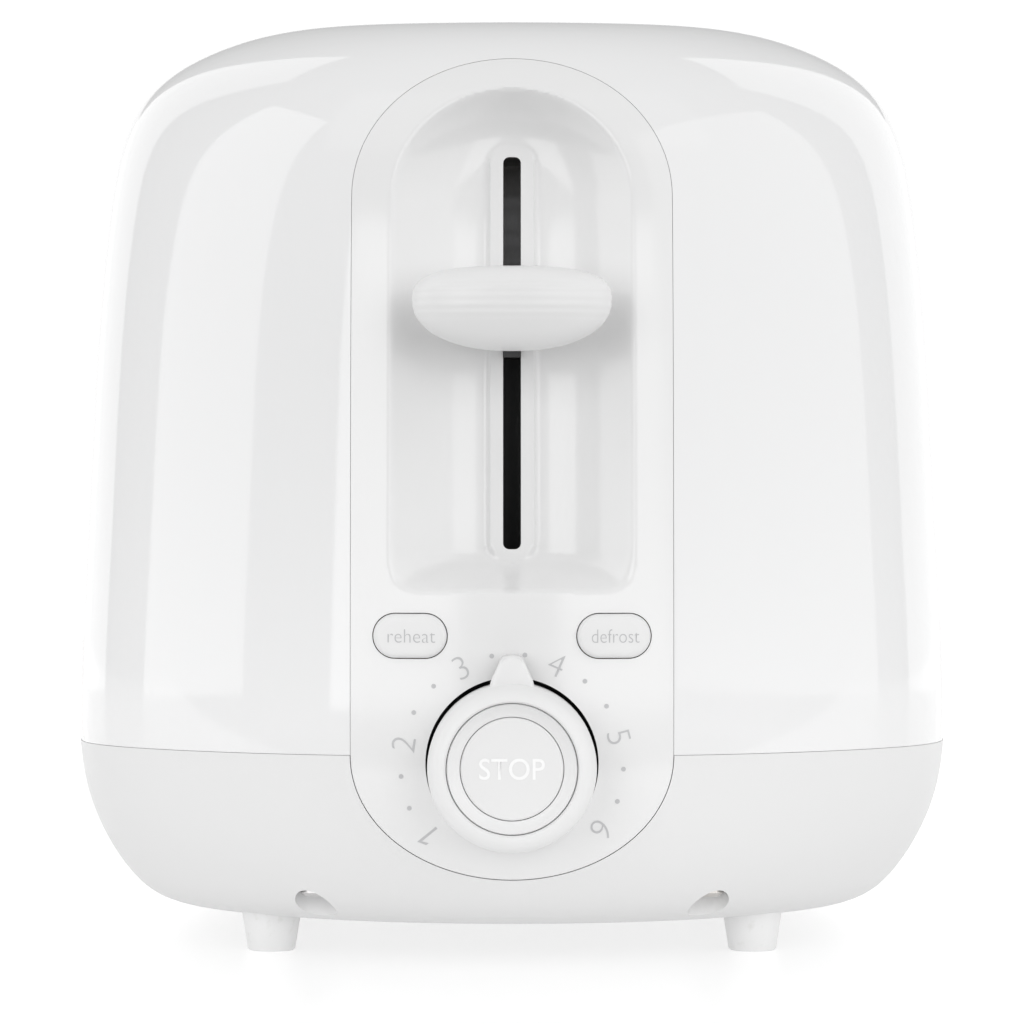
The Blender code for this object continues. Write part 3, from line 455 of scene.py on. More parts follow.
def prism(name, outline, low, high, axis="Y"):
    """A flat outline pushed along an axis. The outline is in XZ for axis Y and in XY for axis Z."""
    bpy.ops.mesh.primitive_circle_add(vertices=len(outline), radius=1, fill_type="NGON")
    item = fresh(name)
    for vertex, (u, v) in zip(item.data.vertices, outline):
        vertex.co = (u, low, v) if axis == "Y" else (u, v, low)
    bpy.ops.object.mode_set(mode="EDIT")
    bpy.ops.mesh.select_all(action="SELECT")
    push = (0, high - low, 0) if axis == "Y" else (0, 0, high - low)
    bpy.ops.mesh.extrude_region_move(TRANSFORM_OT_translate={"value": push})
    bpy.ops.mesh.select_all(action="SELECT")
    bpy.ops.mesh.normals_make_consistent(inside=False)
    bpy.ops.object.mode_set(mode="OBJECT")
    return item


def block(name, low, high):
    middle = (Vector(low) + Vector(high)) / 2
    bpy.ops.mesh.primitive_cube_add(size=1, location=middle, scale=Vector(high) - Vector(low))
    return bake_transform(fresh(name))


def bar(name, centre, length, radius, axis="Z", sides=48):
    turns = {"X": (0, math.pi / 2, 0), "Y": (math.pi / 2, 0, 0), "Z": (0, 0, 0)}
    bpy.ops.mesh.primitive_cylinder_add(vertices=sides, radius=radius, depth=length, location=centre,
                                        rotation=turns[axis])
    return bake_transform(fresh(name))


def lathe(name, profile, centre, axis="Y", sides=96, closed=True):
    """Rings pulled one from another along a profile of (radius, height). Height runs to -Y for axis Y."""
    radius, height = profile[0]
    radius = max(radius, 1e-6)
    bpy.ops.mesh.primitive_circle_add(vertices=sides, radius=radius, location=(0, 0, height))
    item = bake_transform(fresh(name))
    bpy.ops.object.mode_set(mode="EDIT")
    bpy.ops.mesh.select_all(action="SELECT")
    for next_radius, next_height in profile[1:] + (profile[:1] if closed else []):
        next_radius = max(next_radius, 1e-6)
        bpy.ops.mesh.extrude_edges_move(TRANSFORM_OT_translate={"value": (0, 0, next_height - height)})
        grow = next_radius / radius
        bpy.ops.transform.resize(value=(grow, grow, 1), center_override=(0, 0, next_height))
        radius, height = next_radius, next_height
    bpy.ops.mesh.select_all(action="SELECT")
    bpy.ops.mesh.remove_doubles(threshold=0.000004)
    bpy.ops.mesh.dissolve_degenerate(threshold=0.000001)
    bpy.ops.mesh.select_all(action="SELECT")
    bpy.ops.mesh.normals_make_consistent(inside=False)
    bpy.ops.object.mode_set(mode="OBJECT")
    if axis == "Y":
        item.rotation_euler = (math.pi / 2, 0, 0)
    item.location = centre
    return bake_transform(item)


def loft(name, rings):
    """A closed body through rings of points: one circle, pulled up once for each further ring."""
    count = len(rings[0])
    bpy.ops.mesh.primitive_circle_add(vertices=count, radius=1, fill_type="NGON")
    item = fresh(name)
    places = {(round(v.co.x, 4), round(v.co.y, 4)): v.index for v in item.data.vertices}
    bpy.ops.object.mode_set(mode="EDIT")
    for _ in rings[1:]:
        bpy.ops.mesh.extrude_region_move(TRANSFORM_OT_translate={"value": (0, 0, 1)})
    bpy.ops.object.mode_set(mode="OBJECT")
    for vertex in item.data.vertices:
        place = places[round(vertex.co.x, 4), round(vertex.co.y, 4)]
        vertex.co = rings[round(vertex.co.z)][place]
    bpy.ops.object.mode_set(mode="EDIT")
    bpy.ops.mesh.select_all(action="SELECT")
    bpy.ops.mesh.normals_make_consistent(inside=False)
    bpy.ops.object.mode_set(mode="OBJECT")
    return item


def merge(name, items):
    bpy.ops.object.select_all(action="DESELECT")
    for item in items:
        item.select_set(True)
    bpy.context.view_layer.objects.active = items[0]
    bpy.ops.object.join()
    return fresh(name)


# ---- The housing form ----------------------------------------------------------------------------
def side_point(along, half_width, half_length, end_depth):
    sign = math.copysign(1, along)
    along = abs(along)
    if along < STRAIGHT:
        return half_width, sign * (half_length - end_depth) * along / STRAIGHT
    share = (along - STRAIGHT) / (1 - STRAIGHT)
    angle = math.pi / 2 + (CORNER - math.pi / 2) * share
    return half_width * math.sin(angle), sign * (half_length - end_depth + end_depth * math.cos(angle))


def ring_point(across, along, half_width, half_length, end_depth):
    angle = across * CORNER
    end_x = half_width * math.sin(angle)
    end_y = half_length - end_depth + end_depth * math.cos(angle)
    side_x, side_y = side_point(along, half_width, half_length, end_depth)
    corner_x = half_width * math.sin(CORNER)
    corner_y = half_length - end_depth + end_depth * math.cos(CORNER)
    return end_x * side_x / corner_x, end_y * side_y / corner_y


def grown_rings(grow):
    crown = RINGS[-1][0] + TOP_DOME
    profile = [(RINGS[0][0], 0, 0, 0), *RINGS, (crown, 0, 0, 0)]
    rings = []
    for before, ring, after in zip(profile, profile[1:], profile[2:]):
        rise = after[0] - before[0]
        wide, long = after[1] - before[1], after[2] - before[2]
        out_x = rise / math.hypot(rise, wide)
        up = -wide / math.hypot(rise, wide)
        out_y = rise / math.hypot(rise, long)
        rings.append((ring[0] + grow * up, ring[1] + grow * out_x, ring[2] + grow * out_y,
                      ring[3] + grow * out_y))
    return rings, crown + grow - rings[-1][0]


def housing_form(name, grow=0.0, levels=3):
    """The closed form of the housing: a cut-up cube whose rings are set to size, then smoothed."""
    rings, dome = grown_rings(grow)
    last = len(rings) - 1
    bpy.ops.mesh.primitive_cube_add(size=2)
    form = fresh(name)
    bpy.ops.object.mode_set(mode="EDIT")
    cuts_up = [2 * i / last - 1 for i in range(1, last)]
    for axis, cuts in enumerate((CUTS_ACROSS, CUTS_ALONG, cuts_up)):
        normal = Vector((axis == 0, axis == 1, axis == 2))
        for place in cuts:
            bpy.ops.mesh.select_all(action="SELECT")
            bpy.ops.mesh.bisect(plane_co=normal * place, plane_no=normal, use_fill=False)
    bpy.ops.object.mode_set(mode="OBJECT")
    for vertex in form.data.vertices:
        across, along, up = vertex.co
        index = round((up + 1) / 2 * last)
        height, *shape = rings[index]
        if index == last:
            height += dome * (1 - max(abs(across), abs(along)) ** 2)
        vertex.co = (*ring_point(across, along, *shape), height)
    apply_modifier(form, "SUBSURF", levels=levels, render_levels=levels)
    return form


def surface_reader(form, direction):
    """A function that reads where a ray along a direction first meets the form."""
    tree = BVHTree.FromObject(form, bpy.context.evaluated_depsgraph_get())
    ray = Vector(direction)
    start = ray * -1.0

    def read(u, v):
        origin = start + (Vector((u, 0, v)) if ray.y else Vector((u, v, 0)))
        hit = tree.ray_cast(origin, ray)[0]
        return hit.y if ray.y else hit.z

    return read


FINE_FORM = housing_form("fine_form", 0.0, 4)
front_at = surface_reader(FINE_FORM, (0, 1, 0))     # y of the housing's front at (x, z)
crown_at = surface_reader(FINE_FORM, (0, 0, -1))    # z of the housing's top at (x, y)


def panel_outline(grow=0.0):
    half = PANEL_HALF + grow
    top = arc((0, PANEL_TOP_SPRING), (half, PANEL_TOP - PANEL_TOP_SPRING + grow), 0, 180, 64)
    bottom = arc((0, PANEL_BOTTOM_SPRING), (half, PANEL_BOTTOM_SPRING - PANEL_BOTTOM + grow), 180, 360, 64)
    return top + bottom


def button_outline(side, grow=0.0, steps=16):
    radius = BUTTON_HEIGHT / 2 + grow
    reach = (BUTTON_WIDTH - BUTTON_HEIGHT) / 2
    x = side * BUTTON_X
    right = arc((x + reach, BUTTON_Z), (radius, radius), -90, 90, 2 * steps)
    left = arc((x - reach, BUTTON_Z), (radius, radius), 90, 270, 2 * steps)
    run = [x - reach + 2 * reach * share / 8 for share in range(1, 8)]
    top, bottom = BUTTON_Z + radius, BUTTON_Z - radius
    return right + [(u, top) for u in reversed(run)] + left + [(u, bottom) for u in run]


# ---- Shell and base ------------------------------------------------------------------------------
def slot_cutter(name, side, roll=0.0030):
    """A bread slot's space, flared at the top so that the shell's edge rolls over into the slot."""
    x = side * BREAD_X
    stages = [(0.0, None)]
    for step in range(8):
        angle = math.radians(80 * step / 7)
        stages.append((roll * (1 - math.cos(angle)), roll * (math.sin(angle) - 1)))
    stages.append((roll * 0.98, 0.00005))
    stages.append((roll * 1.2, 0.0040))
    rings = []
    for grow, drop in stages:
        low = (x - BREAD_HALF_WIDTH - grow, BREAD_FRONT - grow)
        high = (x + BREAD_HALF_WIDTH + grow, BREAD_REAR + grow)
        outline = rounded_outline(low, high, BREAD_CORNER + grow, 10)
        outline = subdivided(outline)
        rings.append([(u, v, SKIRT_BOTTOM - 0.004 if drop is None else crown_at(u, v) + drop)
                      for u, v in outline])
    return loft(name, rings)


def subdivided(outline):
    """Cut an outline's long straight runs so that a ring laid along it can follow a curve."""
    points = []
    for start, end in zip(outline, outline[1:] + outline[:1]):
        length = math.dist(start, end)
        count = 24 if length > 0.05 else 5 if length > 0.012 else 1
        for number in range(count):
            share = number / count
            points.append((start[0] + (end[0] - start[0]) * share, start[1] + (end[1] - start[1]) * share))
    return points


def make_shell():
    shell = housing_form("shell")
    carve(shell, housing_form("hollow", -WALL, 2))
    for name, side in SIDES:
        x = side * BREAD_X
        edge = BREAD_HALF_WIDTH + SKIRT_WALL
        outline = rounded_outline((x - edge, BREAD_FRONT - SKIRT_WALL), (x + edge, BREAD_REAR + SKIRT_WALL),
                                  BREAD_CORNER + SKIRT_WALL)
        skirt = prism(f"skirt_{name}", outline, SKIRT_BOTTOM, SKIRT_TOP, "Z")
        carve(skirt, housing_form("skirt_limit", -0.0010, 2), "INTERSECT")
        carve(shell, skirt, "UNION")
    carve(shell, block("below_seam", (-0.2, -0.2, -0.01), (0.2, 0.2, SEAM + SEAM_GAP)))
    carve(shell, prism("panel_space", panel_outline(0.00008), *PANEL_REACH))
    for name, side in SIDES:
        carve(shell, slot_cutter(f"slot_space_{name}", side))
    smooth(shell, 30)
    return settle(shell, GLOSS_WHITE, "housing", "upper_shell", slot="gloss_white_shell")


def make_base():
    base = housing_form("base", SEAM_LEDGE)
    carve(base, housing_form("base_hollow", -WALL, 2))
    carve(base, block("above_seam", (-0.2, -0.2, SEAM), (0.2, 0.2, 0.3)))
    lip = housing_form("seam_lip", -WALL + 0.0002, 2)
    carve(lip, housing_form("lip_hollow", -WALL - 0.0014, 2))
    carve(lip, block("lip_top", (-0.2, -0.2, SEAM + 0.004), (0.2, 0.2, 0.3)))
    carve(lip, block("lip_bottom", (-0.2, -0.2, -0.01), (0.2, 0.2, SEAM - 0.004)))
    carve(base, lip, "UNION")
    bosses = [bar("screw_boss", (x, y, 0.0110), 0.0180, 0.0062) for x, y in SCREWS]
    carve(merge("screw_bosses", bosses), housing_form("boss_limit", -0.0012, 2), "INTERSECT")
    carve(base, bpy.data.objects["screw_bosses"], "UNION")
    for x, y in SCREWS:
        middle, length = (WELL_TOP + WELL_BOTTOM) / 2, WELL_TOP - WELL_BOTTOM
        carve(base, bar("screw_well", (x, y, middle), length, WELL_RADIUS))
    carve(base, prism("panel_space", panel_outline(0.00014), *PANEL_REACH))
    door = rounded_outline((-DOOR_HALF, DOOR_BOTTOM), (DOOR_HALF, DOOR_TOP), 0.0025)
    carve(base, prism("tray_door", door, 0.1000, 0.1500))
    carve(base, bar("gland_hole", (0, 0.1360, GLAND_Z), 0.0120, GLAND_RADIUS + 0.0002, "Y"))
    for x in (-FOOT_X, FOOT_X):
        for y in (-FOOT_Y, FOOT_Y):
            carve(base, bar("foot_hole", (x, y, 0.006), 0.010, FOOT_PLUG + 0.0002, sides=32))
    smooth(base, 30)
    return settle(base, BASE_WHITE_PAINTED_SHADE, "housing", "base_tray", slot="satin_white_plastic")


# ---- Control panel -------------------------------------------------------------------------------
def bay_depth(x, z):
    """How far the lever bay is sunk at a point of the panel: a smooth trough with a rolled edge."""
    across = abs(x) / BAY_HALF
    run = BAY_SIDE_RUN
    if z > BAY_TOP_SPRING:
        up = (z - BAY_TOP_SPRING) / (BAY_TOP - BAY_TOP_SPRING)
        reach = math.hypot(across, up)
        run += (BAY_TOP_RUN - BAY_SIDE_RUN) * (up / reach) ** 2
    else:
        reach = across
    inside = (1 - reach) * BAY_HALF
    floor = BAY_BOTTOM
    past = abs(x) - (BAY_HALF - BAY_CORNER)
    if past > 0:
        floor += BAY_CORNER - math.sqrt(max(BAY_CORNER ** 2 - past ** 2, 0))
    above = z - floor
    side = 1 - (1 - min(max(inside / run, 0), 1)) ** 2.2
    sill = 1 - (1 - min(max(above / BAY_BOTTOM_RUN, 0), 1)) ** 2.4
    depth = BAY_DEPTH * side * sill
    edge = min(inside, above)
    if edge <= 0 or depth < 0.0001:
        depth = min(edge, 0.0) * 1.6
    rolled = (depth + math.hypot(depth, 0.0006)) / 2
    if rolled < 0.00002:
        return 0.0
    nearest = min(max(z, SLOT_BOTTOM + SLOT_HALF), SLOT_TOP - SLOT_HALF)
    rim = math.hypot(x, z - nearest)
    share = min(max((RIM_HALF + 0.0005 - rim) / 0.0007, 0), 1)
    share = share * share * (3 - 2 * share)
    return rolled + (BAY_DEPTH - RIM_RISE - rolled) * share


def make_panel():
    width, low, high = PANEL_HALF + 0.0006, PANEL_BOTTOM - 0.0006, PANEL_TOP + 0.0006
    columns, rows = round(2 * width / PANEL_CELL), round((high - low) / PANEL_CELL)
    middle = (low + high) / 2
    bpy.ops.mesh.primitive_grid_add(x_subdivisions=columns, y_subdivisions=rows, size=1)
    panel = fresh("control_panel_face")
    for vertex in panel.data.vertices:
        x = vertex.co.x * 2 * width
        z = middle + vertex.co.y * (high - low)
        vertex.co = (x, front_at(x, z) + bay_depth(x, z), z)
    bpy.ops.object.mode_set(mode="EDIT")
    bpy.ops.mesh.select_all(action="SELECT")
    bpy.ops.mesh.extrude_region_move(TRANSFORM_OT_translate={"value": (0, PANEL_WALL, 0)})
    bpy.ops.mesh.select_all(action="SELECT")
    bpy.ops.mesh.normals_make_consistent(inside=False)
    bpy.ops.object.mode_set(mode="OBJECT")
    carve(panel, prism("panel_shape", panel_outline(), *PANEL_REACH), "INTERSECT")
    ends = rounded_outline((-SLOT_HALF, SLOT_BOTTOM), (SLOT_HALF, SLOT_TOP), SLOT_HALF * 0.7, 8)
    carve(panel, prism("lever_slot", ends, -0.14, -0.10))
    carve(panel, bar("dial_hole", (0, FRONT, DIAL_Z + 0.00035), 0.030, DIAL_HOLE, "Y", 128))
    for name, side in SIDES:
        carve(panel, prism(f"button_hole_{name}", button_outline(side, 0.00018), FRONT - 0.01, FRONT + 0.012))
    smooth(panel, 38)
    return settle(panel, PANEL_WHITE, "housing", "control_panel", slot="satin_white_plastic")


def make_button(name, side):
    """A pill with rolled edges whose face follows the panel's curve."""
    roll = 0.0010
    stages = [(0.0, 0.0060)]
    for step in range(7):
        angle = math.radians(15 * step)
        stages.append((-roll * (1 - math.cos(angle)), roll * (1 - math.sin(angle)) - BUTTON_PROUD))
    rings = []
    for grow, drop in stages:
        rings.append([(u, front_at(u, v) + drop, v) for u, v in button_outline(side, grow)])
    for share in (0.75, 0.5, 0.25, 0.02):
        x = side * BUTTON_X
        inner = [(x + (u - x) * share, BUTTON_Z + (v - BUTTON_Z) * share) for u, v in button_outline(side, -roll)]
        rings.append([(u, front_at(u, v) - BUTTON_PROUD, v) for u, v in inner])
    button = smooth(loft(name, rings), 40)
    return settle(button, CONTROL_WHITE, f"{name}_button", f"{name}_button", slot="satin_white_plastic")


# ---- Browning dial -------------------------------------------------------------------------------
def make_dial():
    face = FRONT - DIAL_FACE
    outer, inner, back = DIAL_RADIUS, DIAL_BORE, -0.0028
    profile = [(outer, back)]
    profile += arc((outer - 0.0032, face - 0.0040), (0.0032, 0.0040), 0, 90, 16)
    profile += [(inner + 0.0003, face - 0.0002), (inner, face - 0.0005), (inner, back)]
    dial = lathe("dial", profile, (0, FRONT, DIAL_Z), sides=128)
    flank = [(0.0044, outer - 0.0015), (0.0039, outer + 0.0005), (0.0029, outer + 0.0026)]
    crown = arc((0.0009, POINTER_TIP - 0.0014), (0.0014, 0.0014), 18, 90, 8)
    right = flank + crown
    outline = right + [(-u, v) for u, v in reversed(right)]
    pointer = prism("pointer", [(u, v + DIAL_Z) for u, v in outline], FRONT - 0.0088, FRONT - 0.0008)
    bevel_front(pointer, FRONT - 0.0088, 0.0006)
    carve(dial, pointer, "UNION")
    smooth(dial, 36)
    return settle(dial, CONTROL_WHITE, "browning_dial", "browning_dial", slot="satin_white_plastic")


def bevel_front(item, y, width, segments=3):
    """Round the edges around an item's flat front face."""
    take(item)
    bpy.ops.object.mode_set(mode="EDIT")
    bpy.ops.mesh.select_mode(type="EDGE")
    bpy.ops.object.mode_set(mode="OBJECT")
    for edge in item.data.edges:
        edge.select = all(abs(item.data.vertices[v].co.y - y) < 0.00002 for v in edge.vertices)
    bpy.ops.object.mode_set(mode="EDIT")
    bpy.ops.mesh.bevel(offset=width, segments=segments, affect="EDGES")
    bpy.ops.object.mode_set(mode="OBJECT")
    return item


def make_stop():
    level = FRONT - STOP_FACE
    outer, inner, back = DIAL_BORE - 0.00013, STOP_RADIUS + 0.00011, 0.0010
    rim = FRONT - DIAL_FACE - 0.0003
    dish = [(outer, back), (outer, rim - 0.0003), (outer - 0.0002, rim)]
    dish += [(inner + (outer - 0.0002 - inner) * (1 - share), rim - 0.0013 * math.sin(math.pi / 2 * share))
             for share in (0.15, 0.3, 0.45, 0.6, 0.75, 0.9, 1.0)]
    dish += [(inner, back)]
    bezel = smooth(lathe("stop_ring", dish, (0, FRONT, DIAL_Z), sides=128), 40)
    settle(bezel, CONTROL_WHITE, "housing", "stop_bezel", slot="satin_white_plastic")
    edge = STOP_RADIUS
    profile = [(0, 0.0015), (edge, 0.0015), (edge, level - 0.0005)]
    profile += [(edge - 0.0005 + u, level - 0.0005 + v) for u, v in arc((0, 0), (0.0005, 0.0005), 15, 90, 5)]
    profile += [(0, level)]
    button = smooth(lathe("stop", profile, (0, FRONT, DIAL_Z), sides=128, closed=False), 40)
    settle(button, CONTROL_WHITE, "stop_button", "stop_button", slot="satin_white_plastic")


# ---- Lever knob ----------------------------------------------------------------------------------
def make_knob():
    """An oval grip: flat-topped, ribbed across the upper front, on a short neck."""
    bpy.ops.mesh.primitive_uv_sphere_add(segments=144, ring_count=120, radius=1)
    knob = fresh("knob")
    middle = KNOB_FRONT + KNOB_DEPTH * 0.46
    for vertex in knob.data.vertices:
        up = max(-1.0, min(1.0, vertex.co.z))
        angle = math.atan2(vertex.co.y, vertex.co.x)
        tilt = math.asin(up)
        reach, bend = (KNOB_ABOVE, 0.72) if up >= 0 else (KNOB_BELOW, 0.90)
        flat, tall = abs(math.cos(tilt)) ** bend, abs(math.sin(tilt)) ** bend
        z = math.copysign(reach * tall, up)
        wide, deep = abs(math.cos(angle)) ** 0.9, abs(math.sin(angle)) ** 0.9
        front_share = 0.46 if math.sin(angle) < 0 else 0.54
        x = math.copysign(KNOB_HALF * wide * flat, math.cos(angle))
        y = math.copysign(KNOB_DEPTH * front_share * deep * flat, math.sin(angle))
        below_top = KNOB_ABOVE - z
        if 0.0020 < below_top < 0.0104 and vertex.co.y < 0.35:
            wave = math.sin(math.pi * ((below_top - 0.0020) / 0.00157 % 1.0))
            fade = min(1.0, (0.35 - vertex.co.y) * 4)
            fade *= min(1.0, (below_top - 0.0020) / 0.0012, (0.0104 - below_top) / 0.0012)
            groove = 0.00010 * fade * (1 - wave)
            length = math.hypot(x, y) or 1
            x, y = x * (1 - groove / length), y * (1 - groove / length)
        vertex.co = (x, middle + y, KNOB_Z + z)
    neck = block("knob_neck", (-0.0016, KNOB_FRONT + 0.0105, 0.1182), (0.0016, -0.1232, 0.1320))
    apply_modifier(neck, "BEVEL", width=0.0005, segments=3)
    carve(knob, neck, "UNION")
    smooth(knob, 40)
    return settle(knob, CONTROL_WHITE, "lever_carriage", "lever_knob", slot="satin_white_plastic")


# ---- Lettering -----------------------------------------------------------------------------------
def lettering(name, text, size, width=None, weight=0.0):
    """Flat letters, centred on the origin in XZ, as a mesh."""
    bpy.ops.object.text_add(location=(0, 0, 0))
    item = fresh(name)
    item.data.body = text
    item.data.size = size
    item.data.offset = weight
    item.data.resolution_u = 6
    item.data.fill_mode = "FRONT"
    bpy.ops.object.convert(target="MESH")
    item = fresh(name)
    points = np.array([v.co for v in item.data.vertices])
    low, high = points.min(0), points.max(0)
    stretch = width / (high[0] - low[0]) if width else 1.0
    for vertex in item.data.vertices:
        x = (vertex.co.x - (low[0] + high[0]) / 2) * stretch
        z = vertex.co.y - (low[1] + high[1]) / 2
        vertex.co = (x, 0, z)
    return item


def lay(item, proud=0.00005, drop=0.0):
    """Lay a flat print on the housing's front, a hair proud of it."""
    for vertex in item.data.vertices:
        vertex.co.y = front_at(vertex.co.x, vertex.co.z) - proud + drop
    return item


def figure_one():
    """The 1 of the scale: a thin upright with a short flag."""
    bpy.ops.mesh.primitive_circle_add(vertices=6, radius=1, fill_type="NGON")
    item = fresh("digit_1")
    outline = [(0.0003, 0.0023), (0.0003, -0.0023), (-0.0002, -0.0023), (-0.0002, 0.0016), (-0.0013, 0.0008),
               (-0.0013, 0.0014)]
    for vertex, (u, v) in zip(item.data.vertices, outline):
        vertex.co = (u, 0, v)
    return item


def scale_turn(place):
    """The bearing of a place on the scale, in radians from the top."""
    return math.radians((place - 3.5) * NUMBER_STEP + SCALE_TURN)


def make_scale():
    marks = []
    for number in range(1, 7):
        turn = scale_turn(number)
        digit = figure_one() if number == 1 else lettering(f"digit_{number}", str(number), 0.0066, weight=-0.00012)
        for vertex in digit.data.vertices:
            u, v = vertex.co.x, vertex.co.z + NUMBER_RADIUS
            vertex.co = (u * math.cos(turn) + v * math.sin(turn), 0,
                         DIAL_Z + v * math.cos(turn) - u * math.sin(turn))
        marks.append(digit)
    for number in range(1, 6):
        for share in (1 / 3, 2 / 3):
            turn = scale_turn(number + share)
            bpy.ops.mesh.primitive_circle_add(vertices=20, radius=0.00045, fill_type="NGON")
            dot = fresh("dot")
            for vertex in dot.data.vertices:
                vertex.co = (DOT_RADIUS * math.sin(turn) + vertex.co.x, 0,
                             DIAL_Z + DOT_RADIUS * math.cos(turn) + vertex.co.y)
            marks.append(dot)
    scale = lay(merge("browning_scale", marks))
    settle(scale, GREY_PRINT, "housing")


def make_words():
    for name, side in (("reheat", -1), ("defrost", 1)):
        word = lettering(f"{name}_word", name, 0.0038, 0.0090, -0.00006)
        for vertex in word.data.vertices:
            vertex.co.x += side * BUTTON_X + 0.0003
            vertex.co.z += BUTTON_Z
        settle(lay(word, BUTTON_PROUD + 0.00005), GREY_PRINT, f"{name}_button")
    word = lettering("stop_word", "STOP", 0.0056, 0.0122, 0.00003)
    for vertex in word.data.vertices:
        vertex.co.y = STOP_FACE - 0.00005
        vertex.co.z += DIAL_Z
    settle(word, PALE_PRINT, "stop_button")


# ---- Feet, tray door, gland, cages and carriage --------------------------------------------------
def make_foot(end, name, x, y):
    """A tapered rubber foot that follows the base's underside, with a plug in the base's hole."""
    profile = [(0, 0), (FOOT_RADIUS - 0.0004, 0), (FOOT_RADIUS, 0.0004), (0.0064, FOOT_TOP), (0, FOOT_TOP)]
    foot = lathe(f"foot_{end}_{name}_new", profile, (x, y, 0), "Z", 64, closed=False)
    carve(foot, housing_form("foot_limit", SEAM_LEDGE))
    carve(foot, bar("foot_plug", (x, y, 0.0074), 0.0056, FOOT_PLUG), "UNION")
    settle(smooth(foot, 40), RUBBER, "housing", f"foot_{end}_{name}", slot="white_rubber")


def make_tray_door():
    """The rear door of the crumb tray: a panel of the base's own form with a finger lip."""
    door = housing_form("tray_front", SEAM_LEDGE)
    carve(door, housing_form("door_hollow", -WALL, 2))
    low, high = (-DOOR_HALF + DOOR_GAP, DOOR_BOTTOM + DOOR_GAP), (DOOR_HALF - DOOR_GAP, DOOR_TOP - DOOR_GAP)
    outline = rounded_outline(low, high, 0.0023)
    carve(door, prism("door_shape", outline, 0.1000, 0.1600), "INTERSECT")
    lip = block("finger_lip", (-0.0180, 0.1240, DOOR_TOP - 0.0037), (0.0180, 0.1372, DOOR_TOP - 0.0015))
    apply_modifier(lip, "BEVEL", width=0.0009, segments=3)
    carve(door, lip, "UNION")
    bridge = block("bridge", (-0.0250, TRAY_REAR + GAP, TRAY_BOTTOM + 0.0010), (0.0250, 0.1350, TRAY_BOTTOM + 0.0035))
    carve(bridge, housing_form("bridge_limit", -0.0010, 2), "INTERSECT")
    carve(door, bridge, "UNION")
    smooth(door, 34)
    return settle(door, BASE_WHITE_PAINTED_SHADE, "crumb_tray", "crumb_tray_handle", slot="satin_white_plastic")


def make_gland():
    """A soft flanged collar that holds the mains cord in the rear wall."""
    neck, reach = 0.0014, GLAND_REAR - REAR
    profile = [(0.0032, -0.0090), (GLAND_RADIUS, -0.0090), (GLAND_RADIUS, neck), (0.0070, neck),
               (0.0072, neck + 0.0006)]
    profile += arc((0.0062, reach - 0.0010), (0.0010, 0.0010), 0, 90, 6)
    profile += [(0.0040, reach), (0.0034, reach - 0.0003), (0.0032, reach - 0.0010)]
    gland = lathe("gland", [(u, -v) for u, v in profile], (0, REAR, GLAND_Z), sides=64)
    smooth(gland, 40)
    return settle(gland, BASE_WHITE_PAINTED_SHADE, "housing", "cord_gland", slot="satin_white_plastic")


def make_guard(kind, name, x):
    """A wire cage that holds one side of a slice upright."""
    ends = (CHAMBER_FRONT - SHEET - TAB_REACH + 0.0010, CHAMBER_REAR + SHEET + TAB_REACH - 0.0010)
    middle, length = sum(ends) / 2, ends[1] - ends[0]
    wires = [bar("rail", (x, middle, z), length, 0.0010, "Y", 14) for z in GUARD_TABS]
    inner = GUARD_REAR - GUARD_FRONT - 0.0020
    centre = (GUARD_REAR + GUARD_FRONT) / 2
    heights = (GUARD_BOTTOM + GUARD_WIRE, 0.0740, 0.1120)
    wires += [bar("rail", (x, centre, z), inner, GUARD_WIRE, "Y", 14) for z in heights]
    middle, tall = (GUARD_BOTTOM + GUARD_TOP) / 2, GUARD_TOP - GUARD_BOTTOM
    for number in range(GUARD_UPRIGHTS):
        y = GUARD_FRONT + 0.0018 + number * (GUARD_REAR - GUARD_FRONT - 0.0036) / (GUARD_UPRIGHTS - 1)
        wires.append(bar("upright", (x, y, middle), tall, GUARD_WIRE, "Z", 14))
    guard = smooth(merge(f"guard_{kind}_{name}_wires", wires), 40)
    return settle(guard, WIRE, f"guard_{kind}_{name}", f"bread_guard_{kind}_{name}", slot="plated_wire")


def make_bracket():
    """The carriage's cross plate, with a lug for the guide rod's bush and a notched lug the lift spring passes."""
    plate = block("bracket", (-0.0310, BAR_FRONT, CARRIAGE_Z - 0.0070), (0.0310, BAR_BACK, CARRIAGE_Z + 0.0070))
    for left, right in ((0.0060, 0.0220), (-0.0300, -0.0060)):
        low, high = (left, LUG_FRONT, CARRIAGE_Z - 0.0020), (right, BAR_FRONT + 0.0010, CARRIAGE_Z + 0.0020)
        carve(plate, block("lug", low, high), "UNION")
    carve(plate, bar("bush_hole", (ROD_X, ROD_Y, CARRIAGE_Z), 0.0100, 0.0053))
    carve(plate, bar("spring_notch", (SPRING_X, ROD_Y, CARRIAGE_Z), 0.0100, 0.0042))
    return settle(smooth(plate, 30), STEEL, "lever_carriage", "carriage_bracket", slot="steel")


def make_rack(name, x):
    """The bread's rest: a stout wire with a row of cross wires."""
    front = BAR_BACK + GAP
    wires = [bar("spine", (x, (front + RACK_REAR) / 2, CARRIAGE_Z), RACK_REAR - front, 0.0013, "Y", 16)]
    for number in range(RACK_BARS):
        y = RACK_FRONT + number * (RACK_REAR - RACK_FRONT) / (RACK_BARS - 1)
        wires.append(bar("cross", (x, y, CARRIAGE_Z + 0.0004), 2 * RACK_HALF, 0.0010, "X", 14))
    rack = smooth(merge(f"rack_{name}_wires", wires), 40)
    return settle(rack, WIRE, "lever_carriage", f"bread_rack_{name}", slot="plated_wire")


